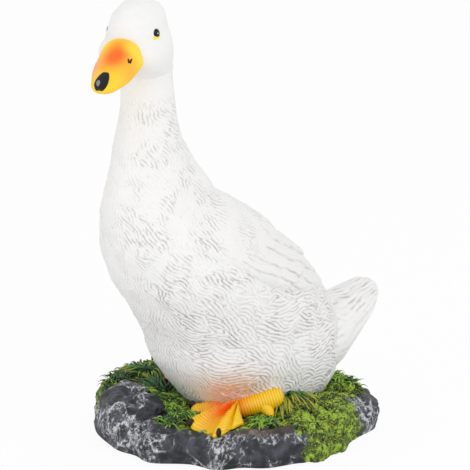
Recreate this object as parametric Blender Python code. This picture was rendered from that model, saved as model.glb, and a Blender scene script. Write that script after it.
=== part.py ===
"""Garden statue: a white duck standing on a mossy rock, cast in resin as one solid.

Frame: +Z up, the duck faces -Y and its left side is +X. The origin is the middle of the
flat underside. Sizes are in millimetres, and MM turns them into metres.
"""

import math

import bmesh
import bpy
import numpy as np
from mathutils import Vector, noise

MM = 0.001

# Rock base
BASE_THICKNESS = 34.0
WALL_BULGE = 4.0
EDGE_ROUND = 9.0
ROCK_ROUGHNESS = 3.4

# Duck: where it stands on the rock, and its main sizes
DUCK_FORWARD = -10.5
DUCK_LEFT = -9.5
TRUNK_FOOT = 10.0
NECK_TOP = 413.0
WING_THICKNESS = 7.5
FEATHER_PITCH = 10.5
FEATHER_STEP = 1.6
TUFT_LENGTH = 27.0
TUFT_WIDTH = 17.0
TUFT_RELIEF = 1.5

# Head, bill and eyes
HEAD_FORWARD = 120.3
HEAD_LEFT = 7.3
HEAD_HEIGHT = 420.0
HEAD_YAW = 27.0
HEAD_PITCH = 14.0
BILL_ROOT = (38.0, 2.4, -18.0)
BILL_PITCH = 11.0
BILL_LENGTH = 50.0
BILL_HALF_WIDTH = 21.3
EYE_PLACE = (8.7, 23.0, 1.0)
EYE_RADIUS = 4.7

# Feet
TOE_HEIGHT = 4.0
WEB_THICKNESS = 6.5
LEG_RADIUS = 10.0

# The cast's own detail: the cell of the skin that joins all shapes, and the facets kept
SKIN_CELL = 1.7
FACETS = 11900

# The trunk from foot to neck: height, breast, back (both forward of the duck's middle) and half width
TRUNK = (
    (10.0, 40.0, -92.0, 52.0),
    (27.0, 50.0, -101.0, 60.0),
    (43.0, 62.0, -107.0, 69.0),
    (65.0, 79.0, -112.0, 77.0),
    (85.0, 91.0, -114.0, 82.0),
    (108.0, 98.4, -109.3, 81.0),
    (130.0, 110.9, -97.4, 81.5),
    (148.0, 122.1, -84.4, 81.0),
    (165.0, 134.0, -70.3, 80.4),
    (182.0, 141.2, -54.5, 77.5),
    (200.0, 146.8, -30.0, 71.5),
    (216.0, 149.8, -13.0, 65.0),
    (233.0, 151.3, 13.0, 56.5),
    (251.0, 150.5, 33.0, 48.0),
    (268.0, 146.5, 44.0, 42.0),
    (285.0, 143.0, 57.0, 37.2),
    (301.0, 139.5, 67.5, 33.6),
    (322.0, 135.0, 75.9, 29.3),
    (342.0, 131.6, 78.5, 26.3),
    (365.0, 131.5, 81.0, 25.2),
    (385.0, 131.0, 83.0, 24.5),
    (402.0, 129.0, 89.0, 20.5),
    (414.0, 124.0, 97.0, 13.0),
)

# The tail: centre forward, centre height, half width, rise above and drop below the centre
TAIL = (
    (-56.0, 84.0, 60.0, 30.0, 42.0),
    (-92.0, 84.0, 53.0, 31.0, 42.0),
    (-115.0, 91.0, 42.0, 27.0, 36.0),
    (-137.0, 101.0, 34.0, 22.0, 27.0),
    (-153.0, 110.0, 27.0, 18.0, 19.0),
    (-163.0, 115.5, 17.0, 10.0, 11.0),
)

# The head in level slices: height over its middle, centre ahead, reach to the front and to the
# rear, half width, and how square the front is
HEAD = (
    (-54.0, -9.0, 20.0, 21.0, 20.5, 2.0),
    (-46.0, -6.0, 23.0, 26.0, 24.5, 2.1),
    (-38.0, 1.0, 26.0, 31.0, 28.0, 2.3),
    (-30.0, 6.0, 28.0, 37.0, 31.5, 2.6),
    (-22.0, 8.0, 30.5, 39.0, 33.0, 3.0),
    (-15.0, 8.0, 31.0, 40.0, 32.5, 3.0),
    (-8.0, 6.0, 32.0, 39.0, 29.5, 2.8),
    (-3.0, 2.5, 34.5, 35.5, 27.0, 2.3),
    (3.0, 0.0, 35.5, 33.0, 25.8, 2.1),
    (10.0, -1.0, 33.0, 32.0, 24.0, 2.1),
    (18.0, -1.0, 28.0, 26.0, 19.8, 2.1),
    (24.0, -1.0, 19.5, 17.0, 13.5, 2.0),
    (27.5, -1.0, 10.0, 9.0, 7.0, 2.0),
    (28.7, -1.0, 2.0, 2.0, 1.5, 2.0),
)

# The bill as shares of its length: station, half width, culmen above and keel below its axis
BILL = (
    (-0.25, 0.80, 18.0, 9.0),
    (0.00, 0.99, 23.0, 9.0),
    (0.20, 1.00, 17.5, 8.5),
    (0.40, 0.99, 13.0, 8.0),
    (0.60, 0.94, 10.5, 7.0),
    (0.78, 0.78, 7.8, 5.5),
    (0.92, 0.50, 4.4, 4.0),
    (1.00, 0.14, 1.0, 1.0),
)

# The rock's outline at the ground: direction from +X in degrees, and radius
OUTLINE = (
    (-178, 124), (-164, 131), (-150, 139), (-134, 141), (-125, 140), (-115, 136), (-104, 132),
    (-94, 130), (-85, 125), (-76, 129), (-67, 120), (-54, 113), (-43, 121), (-33, 114),
    (-22, 118), (-10, 117), (-2, 119), (7, 127), (15, 122), (22, 126), (33, 121), (40, 123),
    (49, 131), (56, 140), (64, 139), (70, 132), (77, 127), (86, 123), (100, 125), (116, 130),
    (130, 125), (144, 129), (158, 121), (170, 123),
)

# Mounds on the rock: centre forward and left of the duck's middle, radius, height, and the
# share of the radius at which the slope begins
MOUNDS = (
    (106.0, -40.0, 44.0, 9.0, 0.30),
    (58.0, -88.0, 38.0, 13.0, 0.20),
    (28.0, -100.0, 34.0, 12.0, 0.10),
    (-10.0, 82.0, 30.0, 13.0, 0.15),
    (42.0, -82.0, 32.0, 17.0, 0.15),
    (94.0, -96.0, 42.0, 11.0, 0.40),
    (-44.0, 88.0, 50.0, 8.0, 0.30),
    (-92.0, 44.0, 42.0, 10.0, 0.20),
    (-88.0, -58.0, 48.0, 9.0, 0.20),
)
DIPS = (
    (100.0, 80.0, 46.0, -7.0, 0.15),
)

# Loose rocks set in the slab: centre in the part's frame, half sizes, and turn in degrees
ROCKS = (
    ((61.0, 99.0, 21.0), (24.0, 30.0, 13.5), -30.0),
    ((-42.0, -96.0, 23.0), (47.0, 33.0, 26.0), -23.0),
)


def spline(stations, values):
    """A smooth curve through the points, as a function of the station: a natural cubic."""
    x = np.asarray(stations, float)
    y = np.asarray(values, float)
    n = len(x)
    h = np.diff(x)
    system = np.eye(n)
    right = np.zeros(n)
    for i in range(1, n - 1):
        system[i, i - 1 : i + 2] = h[i - 1], 2 * (h[i - 1] + h[i]), h[i]
        right[i] = 6 * ((y[i + 1] - y[i]) / h[i] - (y[i] - y[i - 1]) / h[i - 1])
    bend = np.linalg.solve(system, right)

    def at(t):
        t = np.asarray(t, float)
        k = np.clip(np.searchsorted(x, t) - 1, 0, n - 2)
        a = (x[k + 1] - t) / h[k]
        b = (t - x[k]) / h[k]
        curve = (a**3 - a) * bend[k] + (b**3 - b) * bend[k + 1]
        return a * y[k] + b * y[k + 1] + curve * h[k] ** 2 / 6

    return at


def columns(table):
    """One spline for each column after the first."""
    rows = np.array(table)
    return [spline(rows[:, 0], rows[:, k]) for k in range(1, rows.shape[1])]


def step(x, low, high):
    """0 below low, 1 above high, and smooth between."""
    t = np.clip((np.asarray(x, float) - low) / (high - low), 0, 1)
    return t * t * (3 - 2 * t)


def lumps(points, size, seed=0.0):
    """Soft noise from -1 to 1 at each point, with lumps of about this size."""
    shift = Vector((seed * 17.3, seed * 7.7, seed * 3.1))
    return np.array([noise.noise(Vector(p) / size + shift) for p in points])


def to_row(points):
    """Duck's own axes (forward, left, up) to the part's frame, both in millimetres."""
    points = np.asarray(points, float)
    forward = points[..., 0] + DUCK_FORWARD
    left = points[..., 1] + DUCK_LEFT
    return np.stack([left, -forward, points[..., 2]], -1)


def closed_mesh(name, rings, in_row=False):
    """A closed object from rings of points of equal count, with a fan at each end."""
    rings = np.array(rings, float)
    if not in_row:
        rings = to_row(rings)
    count, around = rings.shape[:2]
    bm = bmesh.new()
    verts = [[bm.verts.new(p * MM) for p in ring] for ring in rings]
    for i in range(count - 1):
        for j in range(around):
            k = (j + 1) % around
            bm.faces.new((verts[i][j], verts[i][k], verts[i + 1][k], verts[i + 1][j]))
    for ring, points in ((verts[0], rings[0]), (verts[-1], rings[-1])):
        middle = bm.verts.new(points.mean(0) * MM)
        for j in range(around):
            bm.faces.new((ring[j], ring[(j + 1) % around], middle))
    bmesh.ops.recalc_face_normals(bm, faces=bm.faces)
    mesh = bpy.data.meshes.new(name)
    bm.to_mesh(mesh)
    bm.free()
    obj = bpy.data.objects.new(name, mesh)
    bpy.context.scene.collection.objects.link(obj)
    return obj


trunk_breast, trunk_back, trunk_half_width = columns(TRUNK)


def trunk_middle(height):
    """Centre forward and half length of the trunk's slice at this height."""
    breast = trunk_breast(height)
    back = trunk_back(height)
    return (breast + back) / 2, (breast - back) / 2


def trunk_point(height, turn):
    """A point of the bare trunk: turn 0 is the breast, and a quarter turn its left side."""
    middle, half = trunk_middle(height)
    egg = 0.13 * step(250.0 - height, 0.0, 60.0)
    forward = middle + half * np.cos(turn)
    left = trunk_half_width(height) * np.sin(turn) * (1 + egg * np.cos(turn))
    return np.stack([forward, left, np.broadcast_to(height, forward.shape)], -1)


def trunk_turn(forward, left, height):
    """The turn of the trunk's point nearest to this place, by its slice."""
    middle, half = trunk_middle(height)
    return np.arctan2(left / trunk_half_width(height), (forward - middle) / half)


# The folded wing in side view: its axis from shoulder to tip, as (forward, height)
WING_SHOULDER = (62.0, 232.0)
WING_TIP = (-84.0, 142.0)
WING_EDGE = (
    (-0.05, 8.0), (0.00, 18.0), (0.05, 24.5), (0.13, 30.0), (0.27, 32.5), (0.40, 32.0),
    (0.54, 29.0), (0.72, 20.0), (0.86, 10.5), (1.00, 1.5),
)
wing_lower_edge = spline(*np.array(WING_EDGE).T)


def wing_axes(forward, height):
    """Share of the way along the folded wing, and distance below its axis."""
    start = np.array(WING_SHOULDER)
    along = np.array(WING_TIP) - start
    length = np.hypot(*along)
    df, dh = forward - start[0], height - start[1]
    share = (df * along[0] + dh * along[1]) / length**2
    below = (df * -along[1] + dh * along[0]) / length
    return share, below


def wing_relief(forward, left, height):
    """How far the folded wings stand out of the trunk here, in millimetres."""
    share, below = wing_axes(forward, height)
    edge = wing_lower_edge(np.clip(share, -0.05, 1))
    row = below / FEATHER_PITCH + 0.4 + 0.9 * share
    across = row - np.floor(row)
    tip = 0.035 * (1 - (2 * across - 1) ** 2)
    end = share - tip
    inside = step(share, -0.04, 0.03) * step(edge - below, -0.5, 2.5)
    primary = 1 - step(end, 0.955, 0.985)
    secondary = 1 - step(end + 0.005 * below, 0.655, 0.675)
    covert = 1 - step(end + 0.0072 * below, 0.34, 0.37)
    layer = 0.60 * primary + 0.26 * secondary + 0.14 * covert
    vane = across * (1 - step(across, 0.86, 1.0)) * (1 - covert)
    valley = 0.5 + 0.5 * step(np.abs(left), 1.0, 12.0)
    top = 1 - step(height, 236.0, 258.0)
    taper = 1 - 0.3 * step(share, 0.6, 1.0)
    return inside * top * valley * taper * (WING_THICKNESS * layer + FEATHER_STEP * vane * primary)


def tuft_seeds():
    """Centres of the carved tufts on the trunk in staggered rows: point, and slope turn."""
    seeds = []
    rng = np.random.default_rng(5)
    row = 0
    height = 46.0
    while height < 318.0:
        middle, half = trunk_middle(height)
        girth = math.pi * (half + float(trunk_half_width(height)))
        count = int(girth / (TUFT_WIDTH * 1.05))
        for k in range(count):
            turn = (k + 0.5 * (row % 2) + rng.uniform(-0.2, 0.2)) / count * 2 * math.pi
            z = height + rng.uniform(-3, 3)
            seeds.append((z, turn, rng.uniform(-0.45, 0.45)))
        height += TUFT_LENGTH * 0.5
        row += 1
    return np.array(seeds)


def tuft_relief(points):
    """Carved tufts like overlapping scales: each rises along its length and ends in a round tip."""
    seeds = tuft_seeds()
    centre = trunk_point(seeds[:, 0], seeds[:, 1])
    down = trunk_point(seeds[:, 0] - 4.0, seeds[:, 1]) - centre
    middle = np.stack([trunk_middle(seeds[:, 0])[0], 0 * seeds[:, 0], seeds[:, 0]], -1)
    outward = centre - middle
    back = np.array([-1.0, 0.0, 0.0])
    flow = down / np.linalg.norm(down, axis=1, keepdims=True) + 0.9 * back
    outward /= np.linalg.norm(outward, axis=1, keepdims=True)
    flow -= (flow * outward).sum(1, keepdims=True) * outward
    flow /= np.linalg.norm(flow, axis=1, keepdims=True)
    across = np.cross(outward, flow)
    turn = seeds[:, 2:3]
    flow, across = (
        np.cos(turn) * flow + np.sin(turn) * across,
        np.cos(turn) * across - np.sin(turn) * flow,
    )
    relief = np.zeros(len(points))
    for start in range(0, len(points), 20000):
        part = slice(start, start + 20000)
        gap = points[part, None, :] - centre[None]
        s = np.einsum("ijk,jk->ij", gap, flow) / TUFT_LENGTH + 0.5
        q = np.einsum("ijk,jk->ij", gap, across) / (TUFT_WIDTH * 0.62)
        lift = np.einsum("ijk,jk->ij", gap, outward)
        tip = 1 - np.abs(q) ** 2.2 * 0.5
        shape = np.clip(s, 0, 1) * step(tip - s, 0.0, 0.12) * step(1.1 - np.abs(q), 0, 0.3)
        shape *= (s > 0) & (np.abs(lift) < 22)
        relief[part] = shape.max(1)
    return relief


def trunk_normals(points):
    """Outward directions on the trunk's slices, near enough for low relief."""
    middle, half = trunk_middle(points[:, 2])
    width = trunk_half_width(points[:, 2])
    rise = 2.0
    above, _ = trunk_middle(points[:, 2] + rise)
    normal = np.stack(
        [(points[:, 0] - middle) / half**2, points[:, 1] / width**2, 0 * middle], -1
    )
    normal /= np.linalg.norm(normal, axis=1, keepdims=True)
    turn = trunk_turn(points[:, 0], points[:, 1], points[:, 2])
    slope = trunk_point(points[:, 2] + rise, turn) - trunk_point(points[:, 2] - rise, turn)
    slope /= np.linalg.norm(slope, axis=1, keepdims=True)
    normal -= (normal * slope).sum(1, keepdims=True) * slope
    return normal / np.linalg.norm(normal, axis=1, keepdims=True)


def make_trunk():
    """Body and neck: a stack of egg-shaped slices with folded wings and carved tufts."""
    heights = np.linspace(TRUNK_FOOT, NECK_TOP, 150)
    turns = np.linspace(0, 2 * math.pi, 160, endpoint=False)
    z, t = np.meshgrid(heights, turns, indexing="ij")
    points = trunk_point(z, t).reshape(-1, 3)
    normals = trunk_normals(points)
    wings = wing_relief(points[:, 0], points[:, 1], points[:, 2])
    carved = TUFT_RELIEF * tuft_relief(points)
    carved *= step(points[:, 2], 40.0, 60.0) * (1 - step(points[:, 2], 290.0, 320.0))
    carved *= 1 - step(wings, 0.5, 3.0)
    points += normals * (wings + carved)[:, None]
    return closed_mesh("trunk", points.reshape(z.shape + (3,)))


def make_tail():
    """The upturned tail: a fan of feathers that narrows to a blunt tip."""
    rows = np.array(TAIL)
    share = np.linspace(0, 1, len(rows))
    fine = np.linspace(0, 1, 40)
    forward, height, width, rise, drop = (spline(share, rows[:, k])(fine) for k in range(5))
    turns = np.linspace(0, 2 * math.pi, 96, endpoint=False)
    rings = []
    for k, s in enumerate(fine):
        across = width[k] * np.sin(turns)
        up = np.where(np.cos(turns) > 0, rise[k], drop[k]) * np.cos(turns)
        vanes = 1 + 0.035 * step(s, 0.2, 0.6) * np.cos(turns * 14)
        lean = 0.35 * step(s, 0.3, 1.0)
        ring = np.stack(
            [forward[k] - up * lean, across * vanes, height[k] + up * vanes], -1
        )
        rings.append(ring)
    return closed_mesh("tail", rings)


def head_frame(pitch):
    """Axes (ahead, left, up) of the head, turned to the left and pitched down."""
    yaw = math.radians(HEAD_YAW)
    down = math.radians(pitch)
    ahead = np.array([math.cos(down) * math.cos(yaw), math.cos(down) * math.sin(yaw), -math.sin(down)])
    left = np.array([-math.sin(yaw), math.cos(yaw), 0.0])
    return np.stack([ahead, left, np.cross(ahead, left)])


def head_place(points, pitch=HEAD_PITCH, root=(0.0, 0.0, 0.0)):
    """Points given ahead, left and up of a root in the head's frame, in the duck's axes."""
    centre = np.array([HEAD_FORWARD, HEAD_LEFT, HEAD_HEIGHT])
    centre = centre + np.array(root) @ head_frame(HEAD_PITCH)
    return centre + np.asarray(points) @ head_frame(pitch)


def make_head():
    """Skull and cheeks, the bill, and two domed eyes."""
    turns = np.linspace(0, 2 * math.pi, 72, endpoint=False)
    c, d = np.cos(turns), np.sin(turns)
    centre, front, rear, half_width, square = columns(HEAD)
    skull = []
    for h in np.linspace(HEAD[0][0], HEAD[-1][0], 60):
        power = np.where(c > 0, 2 / square(h), 1.0)
        reach = np.where(c > 0, front(h), rear(h))
        ahead = centre(h) + reach * np.sign(c) * np.abs(c) ** power
        skull.append(np.stack([ahead, half_width(h) * np.sign(d) * np.abs(d) ** power, 0 * c + h], -1))
    width, rise, drop = columns(BILL)
    bill = []
    for s in np.linspace(BILL[0][0], BILL[-1][0], 40):
        side = BILL_HALF_WIDTH * width(s) * np.sign(d) * np.abs(d) ** 0.92
        up = np.where(c > 0, rise(s), drop(s)) * np.sign(c) * np.abs(c) ** 0.92
        bill.append(np.stack([0 * c + s * BILL_LENGTH, side, up], -1))
    bill = head_place(bill, HEAD_PITCH + BILL_PITCH, BILL_ROOT)
    parts = [closed_mesh("skull", head_place(skull)), closed_mesh("bill", bill)]
    ahead, aside, up = EYE_PLACE
    for side in (1, -1):
        middle = head_place((ahead, side * aside, up))
        ball = []
        for lat in np.linspace(0.12, math.pi - 0.12, 14):
            ring = np.stack([math.sin(lat) * c, math.sin(lat) * d, math.cos(lat) + 0 * c], -1)
            ball.append(middle + EYE_RADIUS * ring)
        parts.append(closed_mesh("eye", ball))
    return parts


def base_radius(angle):
    """Radius of the rock at the ground in this direction, in radians."""
    rows = np.array(OUTLINE, float)
    wrapped = np.vstack([rows[-4:] - (360, 0), rows, rows[:4] + (360, 0)])
    curve = spline(np.radians(wrapped[:, 0]), wrapped[:, 1])
    angle = (np.asarray(angle) + math.pi) % (2 * math.pi) - math.pi
    return curve(angle)


def mound(x, y, spec):
    """Height of a round mound at a place in the part's frame."""
    cx, cy = to_row((spec[0], spec[1], 0.0))[:2]
    away = np.hypot(x - cx, y - cy) / spec[2]
    return spec[3] * (1 - step(away, spec[4], 1.0))


def ground(x, y):
    """Height of the rock's and the moss's top at a place in the part's frame."""
    raised = np.max([mound(x, y, spec) for spec in MOUNDS], axis=0)
    sunk = np.sum([mound(x, y, spec) for spec in DIPS], axis=0)
    return BASE_THICKNESS + raised + sunk


def make_base():
    """The rock: an irregular slab with a rough wall, a rounded edge and mounds on top."""
    angles = np.linspace(-math.pi, math.pi, 180, endpoint=False)
    edge = base_radius(angles)
    way = np.stack([np.cos(angles), np.sin(angles)], -1)
    rings = []
    for share in (0.5, 1.0):
        rings.append(np.concatenate([edge[:, None] * share * way, 0 * way[:, :1] - 3.0], -1))
    for up in np.linspace(0.1, 1.0, 9):
        out = edge + WALL_BULGE * math.sin(up * math.pi) - 3.0 * up
        out = out - EDGE_ROUND * (1 - math.sqrt(max(0.0, 1 - up**5)))
        x, y = out * way[:, 0], out * way[:, 1]
        rings.append(np.stack([x, y, ground(x, y) * up * (1 - 0.07 * up**3)], -1))
    for share in np.linspace(0.97, 0.05, 30):
        out = (edge - EDGE_ROUND - 3.0) * share
        x, y = out * way[:, 0], out * way[:, 1]
        rings.append(np.stack([x, y, ground(x, y)], -1))
    rings = np.array(rings)
    skin = rings[2:].reshape(-1, 3)
    outward = skin * (1, 1, 0)
    outward /= np.linalg.norm(outward, axis=1, keepdims=True)
    rough = ROCK_ROUGHNESS * (lumps(skin, 27.0, 1.0) + 0.6 * lumps(skin, 11.0, 2.0))
    rough *= step(skin[:, 2], 2.0, 14.0)
    skin = skin + (outward * 1.2 + (0, 0, 0.45)) * rough[:, None]
    rings[2:] = skin.reshape(rings[2:].shape)
    return closed_mesh("rock", rings, in_row=True)


def make_rock(centre, half, turn):
    """One rough boulder."""
    spin = math.radians(turn)
    turns = np.linspace(0, 2 * math.pi, 40, endpoint=False)
    rings = []
    for lat in np.linspace(0.08, math.pi - 0.08, 22):
        a, b = np.cos(turns), np.sin(turns)
        a, b = np.sign(a) * np.abs(a) ** 0.8, np.sign(b) * np.abs(b) ** 0.8
        x, y = math.sin(lat) ** 0.7 * a * half[0], math.sin(lat) ** 0.7 * b * half[1]
        x, y = x * math.cos(spin) - y * math.sin(spin), x * math.sin(spin) + y * math.cos(spin)
        rings.append(np.stack([x, y, 0 * x + math.cos(lat) * half[2]], -1) + centre)
    rings = np.array(rings)
    skin = rings.reshape(-1, 3)
    outward = (skin - centre) / np.linalg.norm(skin - centre, axis=1, keepdims=True)
    rough = ROCK_ROUGHNESS * (lumps(skin, 24.0, 3.0) + 0.7 * lumps(skin, 10.0, 4.0))
    rings = (skin + outward * rough[:, None]).reshape(rings.shape)
    return closed_mesh("boulder", rings, in_row=True)


# Each foot, in the duck's axes: where the toes meet, the raised heel joint behind, the tips of the
# inner, middle and outer toe and of the small side toe, and the tip of the hind toe
FEET = (
    (
        (42.0, 58.0, 43.0), (4.0, 79.0, 54.0),
        ((68.0, 17.0), (95.0, 54.0), (85.0, 88.0), (58.0, 87.0)), (20.0, 87.0),
    ),
    (
        (0.0, -58.0, 43.0), (-38.0, -72.0, 54.0),
        ((26.0, -17.0), (53.0, -54.0), (43.0, -88.0), (16.0, -87.0)), (-22.0, -87.0),
    ),
)
TOE_SHARES = (-1.0, -0.15, 0.6, 1.0)


def foot_height(forward, left):
    """Top of the rock under a foot."""
    x, y, _ = to_row((forward, left, 0.0))
    return float(ground(x, y))


def make_foot(root, heel, tips, hind):
    """A webbed foot: a fan between ridged toes, the leg behind it, and the hind toe."""
    root = np.array(root)
    tips = np.array(tips)
    reach = [spline(TOE_SHARES, tips[:, k]) for k in (0, 1)]
    rings = []
    for s in np.linspace(0.0, 1.0, 26):
        top, bottom = [], []
        for q in np.linspace(-1.12, 1.12, 49):
            toe = max(math.exp(-(((q - t) / 0.16) ** 2)) for t in TOE_SHARES)
            ahead = (0.84 + 0.16 * toe) * s
            spread = np.clip(q, -1, 1) + 0.5 * (q - np.clip(q, -1, 1))
            f = root[0] + (float(reach[0](spread)) - root[0]) * ahead
            l = root[1] + (float(reach[1](spread)) - root[1]) * ahead
            floor = foot_height(f, l)
            end = math.sqrt(max(0.0, 1 - s**8)) * math.sqrt(max(0.0, 1 - (q / 1.13) ** 8))
            arch = (root[2] - floor) * (1 - s) ** 1.1
            thick = arch + (WEB_THICKNESS * 0.6 + TOE_HEIGHT * toe) * (0.2 + 0.8 * end)
            top.append((f, l, floor + thick))
            bottom.append((f, l, floor - 4.0))
        rings.append(top + bottom[::-1])
    heel = np.array(heel)
    hind = np.array([*hind, foot_height(*hind) + 3.0])
    start = root - (0.0, 0.0, 2.0)
    return [
        closed_mesh("foot", rings),
        rod("leg", start, heel, LEG_RADIUS * 0.9, LEG_RADIUS),
        rod("hind toe", start + (heel - start) * 0.3, hind, 6.0, 3.0),
    ]


def rod(name, start, end, radius, end_radius):
    """A round bar between two points, with rounded ends."""
    axis = (end - start) / np.linalg.norm(end - start)
    side = np.cross(axis, (0.0, 0.0, 1.0))
    side /= np.linalg.norm(side)
    other = np.cross(axis, side)
    turns = np.linspace(0, 2 * math.pi, 20, endpoint=False)
    rings = []
    for s in np.linspace(0.0, 1.0, 14):
        r = (radius + (end_radius - radius) * s) * math.sqrt(max(0.05, 1 - (2 * s - 1) ** 8))
        centre = start + (end - start) * s
        rings.append(centre + r * (np.outer(np.cos(turns), side) + np.outer(np.sin(turns), other)))
    return closed_mesh(name, rings)


# Tufts of grass: root, and for each blade its tip, in the duck's axes
TUFTS = (
    (
        (-14.0, 68.0, 44.0),
        ((10.0, 92.0), (3.0, 99.0), (-6.0, 104.0), (-17.0, 106.0), (-28.0, 104.0), (-38.0, 98.0)),
    ),
    (
        (44.0, -66.0, 44.0),
        ((22.0, -104.0), (34.0, -106.0), (46.0, -106.0), (58.0, -102.0), (68.0, -94.0)),
    ),
)
BLADE_RADIUS = 3.2
BLADE_RISE = 3.5


def make_tuft(root, tips):
    """Blades of grass that arch out of one root."""
    blades = []
    for k, tip in enumerate(tips):
        start = np.array(root)
        end = np.array([*tip, foot_height(*tip) + 1.0])
        crest = (start + end) / 2
        crest[2] = foot_height(*crest[:2]) + BLADE_RISE * (0.8 + 0.4 * (k % 2))
        bend = crest + (start - crest) * 0.08
        blades.append(rod("blade", start, crest, BLADE_RADIUS * 1.2, BLADE_RADIUS))
        blades.append(rod("blade tip", bend, end, BLADE_RADIUS, BLADE_RADIUS * 0.5))
    return blades


def fuse(parts, name):
    """Joins the shapes under one skin, thins its facets and cuts the underside flat."""
    bpy.ops.object.select_all(action="DESELECT")
    for part in parts:
        part.select_set(True)
    bpy.context.view_layer.objects.active = parts[0]
    bpy.ops.object.join()
    statue = bpy.context.view_layer.objects.active
    statue.name = name
    statue.data.name = name
    skin = statue.modifiers.new("skin", "REMESH")
    skin.mode = "VOXEL"
    skin.voxel_size = SKIN_CELL * MM
    bpy.ops.object.modifier_apply(modifier=skin.name)
    triangles = sum(len(p.vertices) - 2 for p in statue.data.polygons)
    thin = statue.modifiers.new("thin", "DECIMATE")
    thin.ratio = FACETS / triangles
    bpy.ops.object.modifier_apply(modifier=thin.name)
    bm = bmesh.new()
    bm.from_mesh(statue.data)
    cut = bmesh.ops.bisect_plane(
        bm,
        geom=bm.verts[:] + bm.edges[:] + bm.faces[:],
        plane_co=(0, 0, 0),
        plane_no=(0, 0, -1),
        clear_outer=True,
    )
    rim = [e for e in cut["geom_cut"] if isinstance(e, bmesh.types.BMEdge)]
    bmesh.ops.contextual_create(bm, geom=rim)
    bmesh.ops.recalc_face_normals(bm, faces=bm.faces)
    bm.to_mesh(statue.data)
    bm.free()
    return statue


def paint(obj, name, colour, roughness):
    """A plain painted-resin material."""
    material = bpy.data.materials.new(name)
    material.use_nodes = True
    shader = material.node_tree.nodes["Principled BSDF"]
    shader.inputs["Base Color"].default_value = (*colour, 1.0)
    shader.inputs["Roughness"].default_value = roughness
    shader.inputs["Metallic"].default_value = 0.0
    obj.data.materials.clear()
    obj.data.materials.append(material)


def main():
    for obj in list(bpy.data.objects):
        bpy.data.objects.remove(obj)
    parts = [make_trunk(), make_tail(), make_base()] + make_head()
    for foot in FEET:
        parts += make_foot(*foot)
    for rock in ROCKS:
        parts.append(make_rock(*rock))
    for tuft in TUFTS:
        parts += make_tuft(*tuft)
    statue = fuse(parts, "duck_statue")
    paint(statue, "painted_resin", (0.86, 0.85, 0.83), 0.55)


main()
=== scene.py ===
"""Looks of the duck garden statue: carved plumage, painted bill and feet, rock, moss and grass.

Frame: +Z up, the duck faces -Y and its left side is +X. Sizes are in millimetres, and MM
turns them into metres. The main forms repeat the CAD part's own sizes, but for the bill, which is
up to 2 mm narrower towards its tip.
"""

import math

import bpy
import numpy as np
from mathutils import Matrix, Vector, noise


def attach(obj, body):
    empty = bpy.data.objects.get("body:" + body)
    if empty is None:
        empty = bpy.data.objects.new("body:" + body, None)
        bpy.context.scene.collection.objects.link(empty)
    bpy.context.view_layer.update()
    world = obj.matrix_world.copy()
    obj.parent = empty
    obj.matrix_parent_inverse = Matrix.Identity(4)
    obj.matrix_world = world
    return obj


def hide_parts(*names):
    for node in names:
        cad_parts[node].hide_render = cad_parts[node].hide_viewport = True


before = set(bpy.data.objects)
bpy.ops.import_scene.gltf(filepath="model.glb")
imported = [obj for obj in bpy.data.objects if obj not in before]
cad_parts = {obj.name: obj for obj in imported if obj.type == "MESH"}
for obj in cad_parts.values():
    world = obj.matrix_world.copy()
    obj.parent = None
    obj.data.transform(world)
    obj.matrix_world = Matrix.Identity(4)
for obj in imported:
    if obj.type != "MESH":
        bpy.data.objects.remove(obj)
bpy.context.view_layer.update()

MM = 0.001

# Rock base
BASE_THICKNESS = 34.0
WALL_BULGE = 4.0
EDGE_ROUND = 9.0
ROCK_ROUGHNESS = 3.4

# Duck: where it stands on the rock, and its main sizes
DUCK_FORWARD = -10.5
DUCK_LEFT = -9.5
TRUNK_FOOT = 10.0
NECK_TOP = 413.0
WING_THICKNESS = 7.5
FEATHER_PITCH = 10.5
FEATHER_STEP = 1.6

# Head, bill and eyes
HEAD_FORWARD = 120.3
HEAD_LEFT = 7.3
HEAD_HEIGHT = 420.0
HEAD_YAW = 27.0
HEAD_PITCH = 14.0
BILL_ROOT = (38.0, 2.4, -18.0)
BILL_PITCH = 11.0
BILL_LENGTH = 50.0
BILL_HALF_WIDTH = 21.3
BILL_LEAN = 1.3
EYE_PLACE = (8.7, 23.0, 1.0)

# Feet
TOE_HEIGHT = 4.0
WEB_THICKNESS = 6.5
LEG_RADIUS = 10.0
RIB_PITCH = 2.7

# Carving that only the looks carry: the CAD part has shorter tufts, and no strands or seams
TUFT_LENGTH = 44.0
TUFT_WIDTH = 19.0
TUFT_RELIEF = 1.5
STRANDS = 5
STRAND_DEPTH = 1.8
SEAM_DEPTH = 0.9
TRUNK_COLUMNS = 560
ROW_PITCH = 0.90
BAND_TOPS = (105.0, 200.0, 295.0)
CARVING_FADES = (338.0, 362.0)

# The peach spots above the legs in the duck's axes, and the size of each
BLUSHES = ((47.0, 62.0, 61.0), (5.0, -62.0, 61.0))
BLUSH_SIZE = (25.0, 42.0, 19.0)

# The bill's nail: where it begins and how far it reaches, as shares of the bill's length
NAIL_START = 0.62
NAIL_REACH = 0.365

# Each eye's pieces: how far ahead, outward and up of the eye's place, and half sizes
EYEBALL = ((0.0, 0.6, -1.4), (5.2, 5.7, 3.7))
EYE_RIM = ((0.6, 0.6, -5.6), (8.8, 5.6, 3.6))
EYE_SPARK = ((0.9, 3.9, -0.2), (0.7, 0.9, 0.4))
FAR_EYE_AHEAD = 1.6

# Greenery: blades tried on the base, the strip left bare beside the left and the right foot's
# toes, and the long tufts: root in the duck's axes, and the side they hang to
BLADES = 8400
TOE_CLEARANCE = (15.0, 4.0)
LONG_TUFTS = (((-8.0, 64.0), 1), ((58.0, -72.0), -1), ((66.0, -40.0), -1))
LONG_TUFT_BLADES = 60

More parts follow.
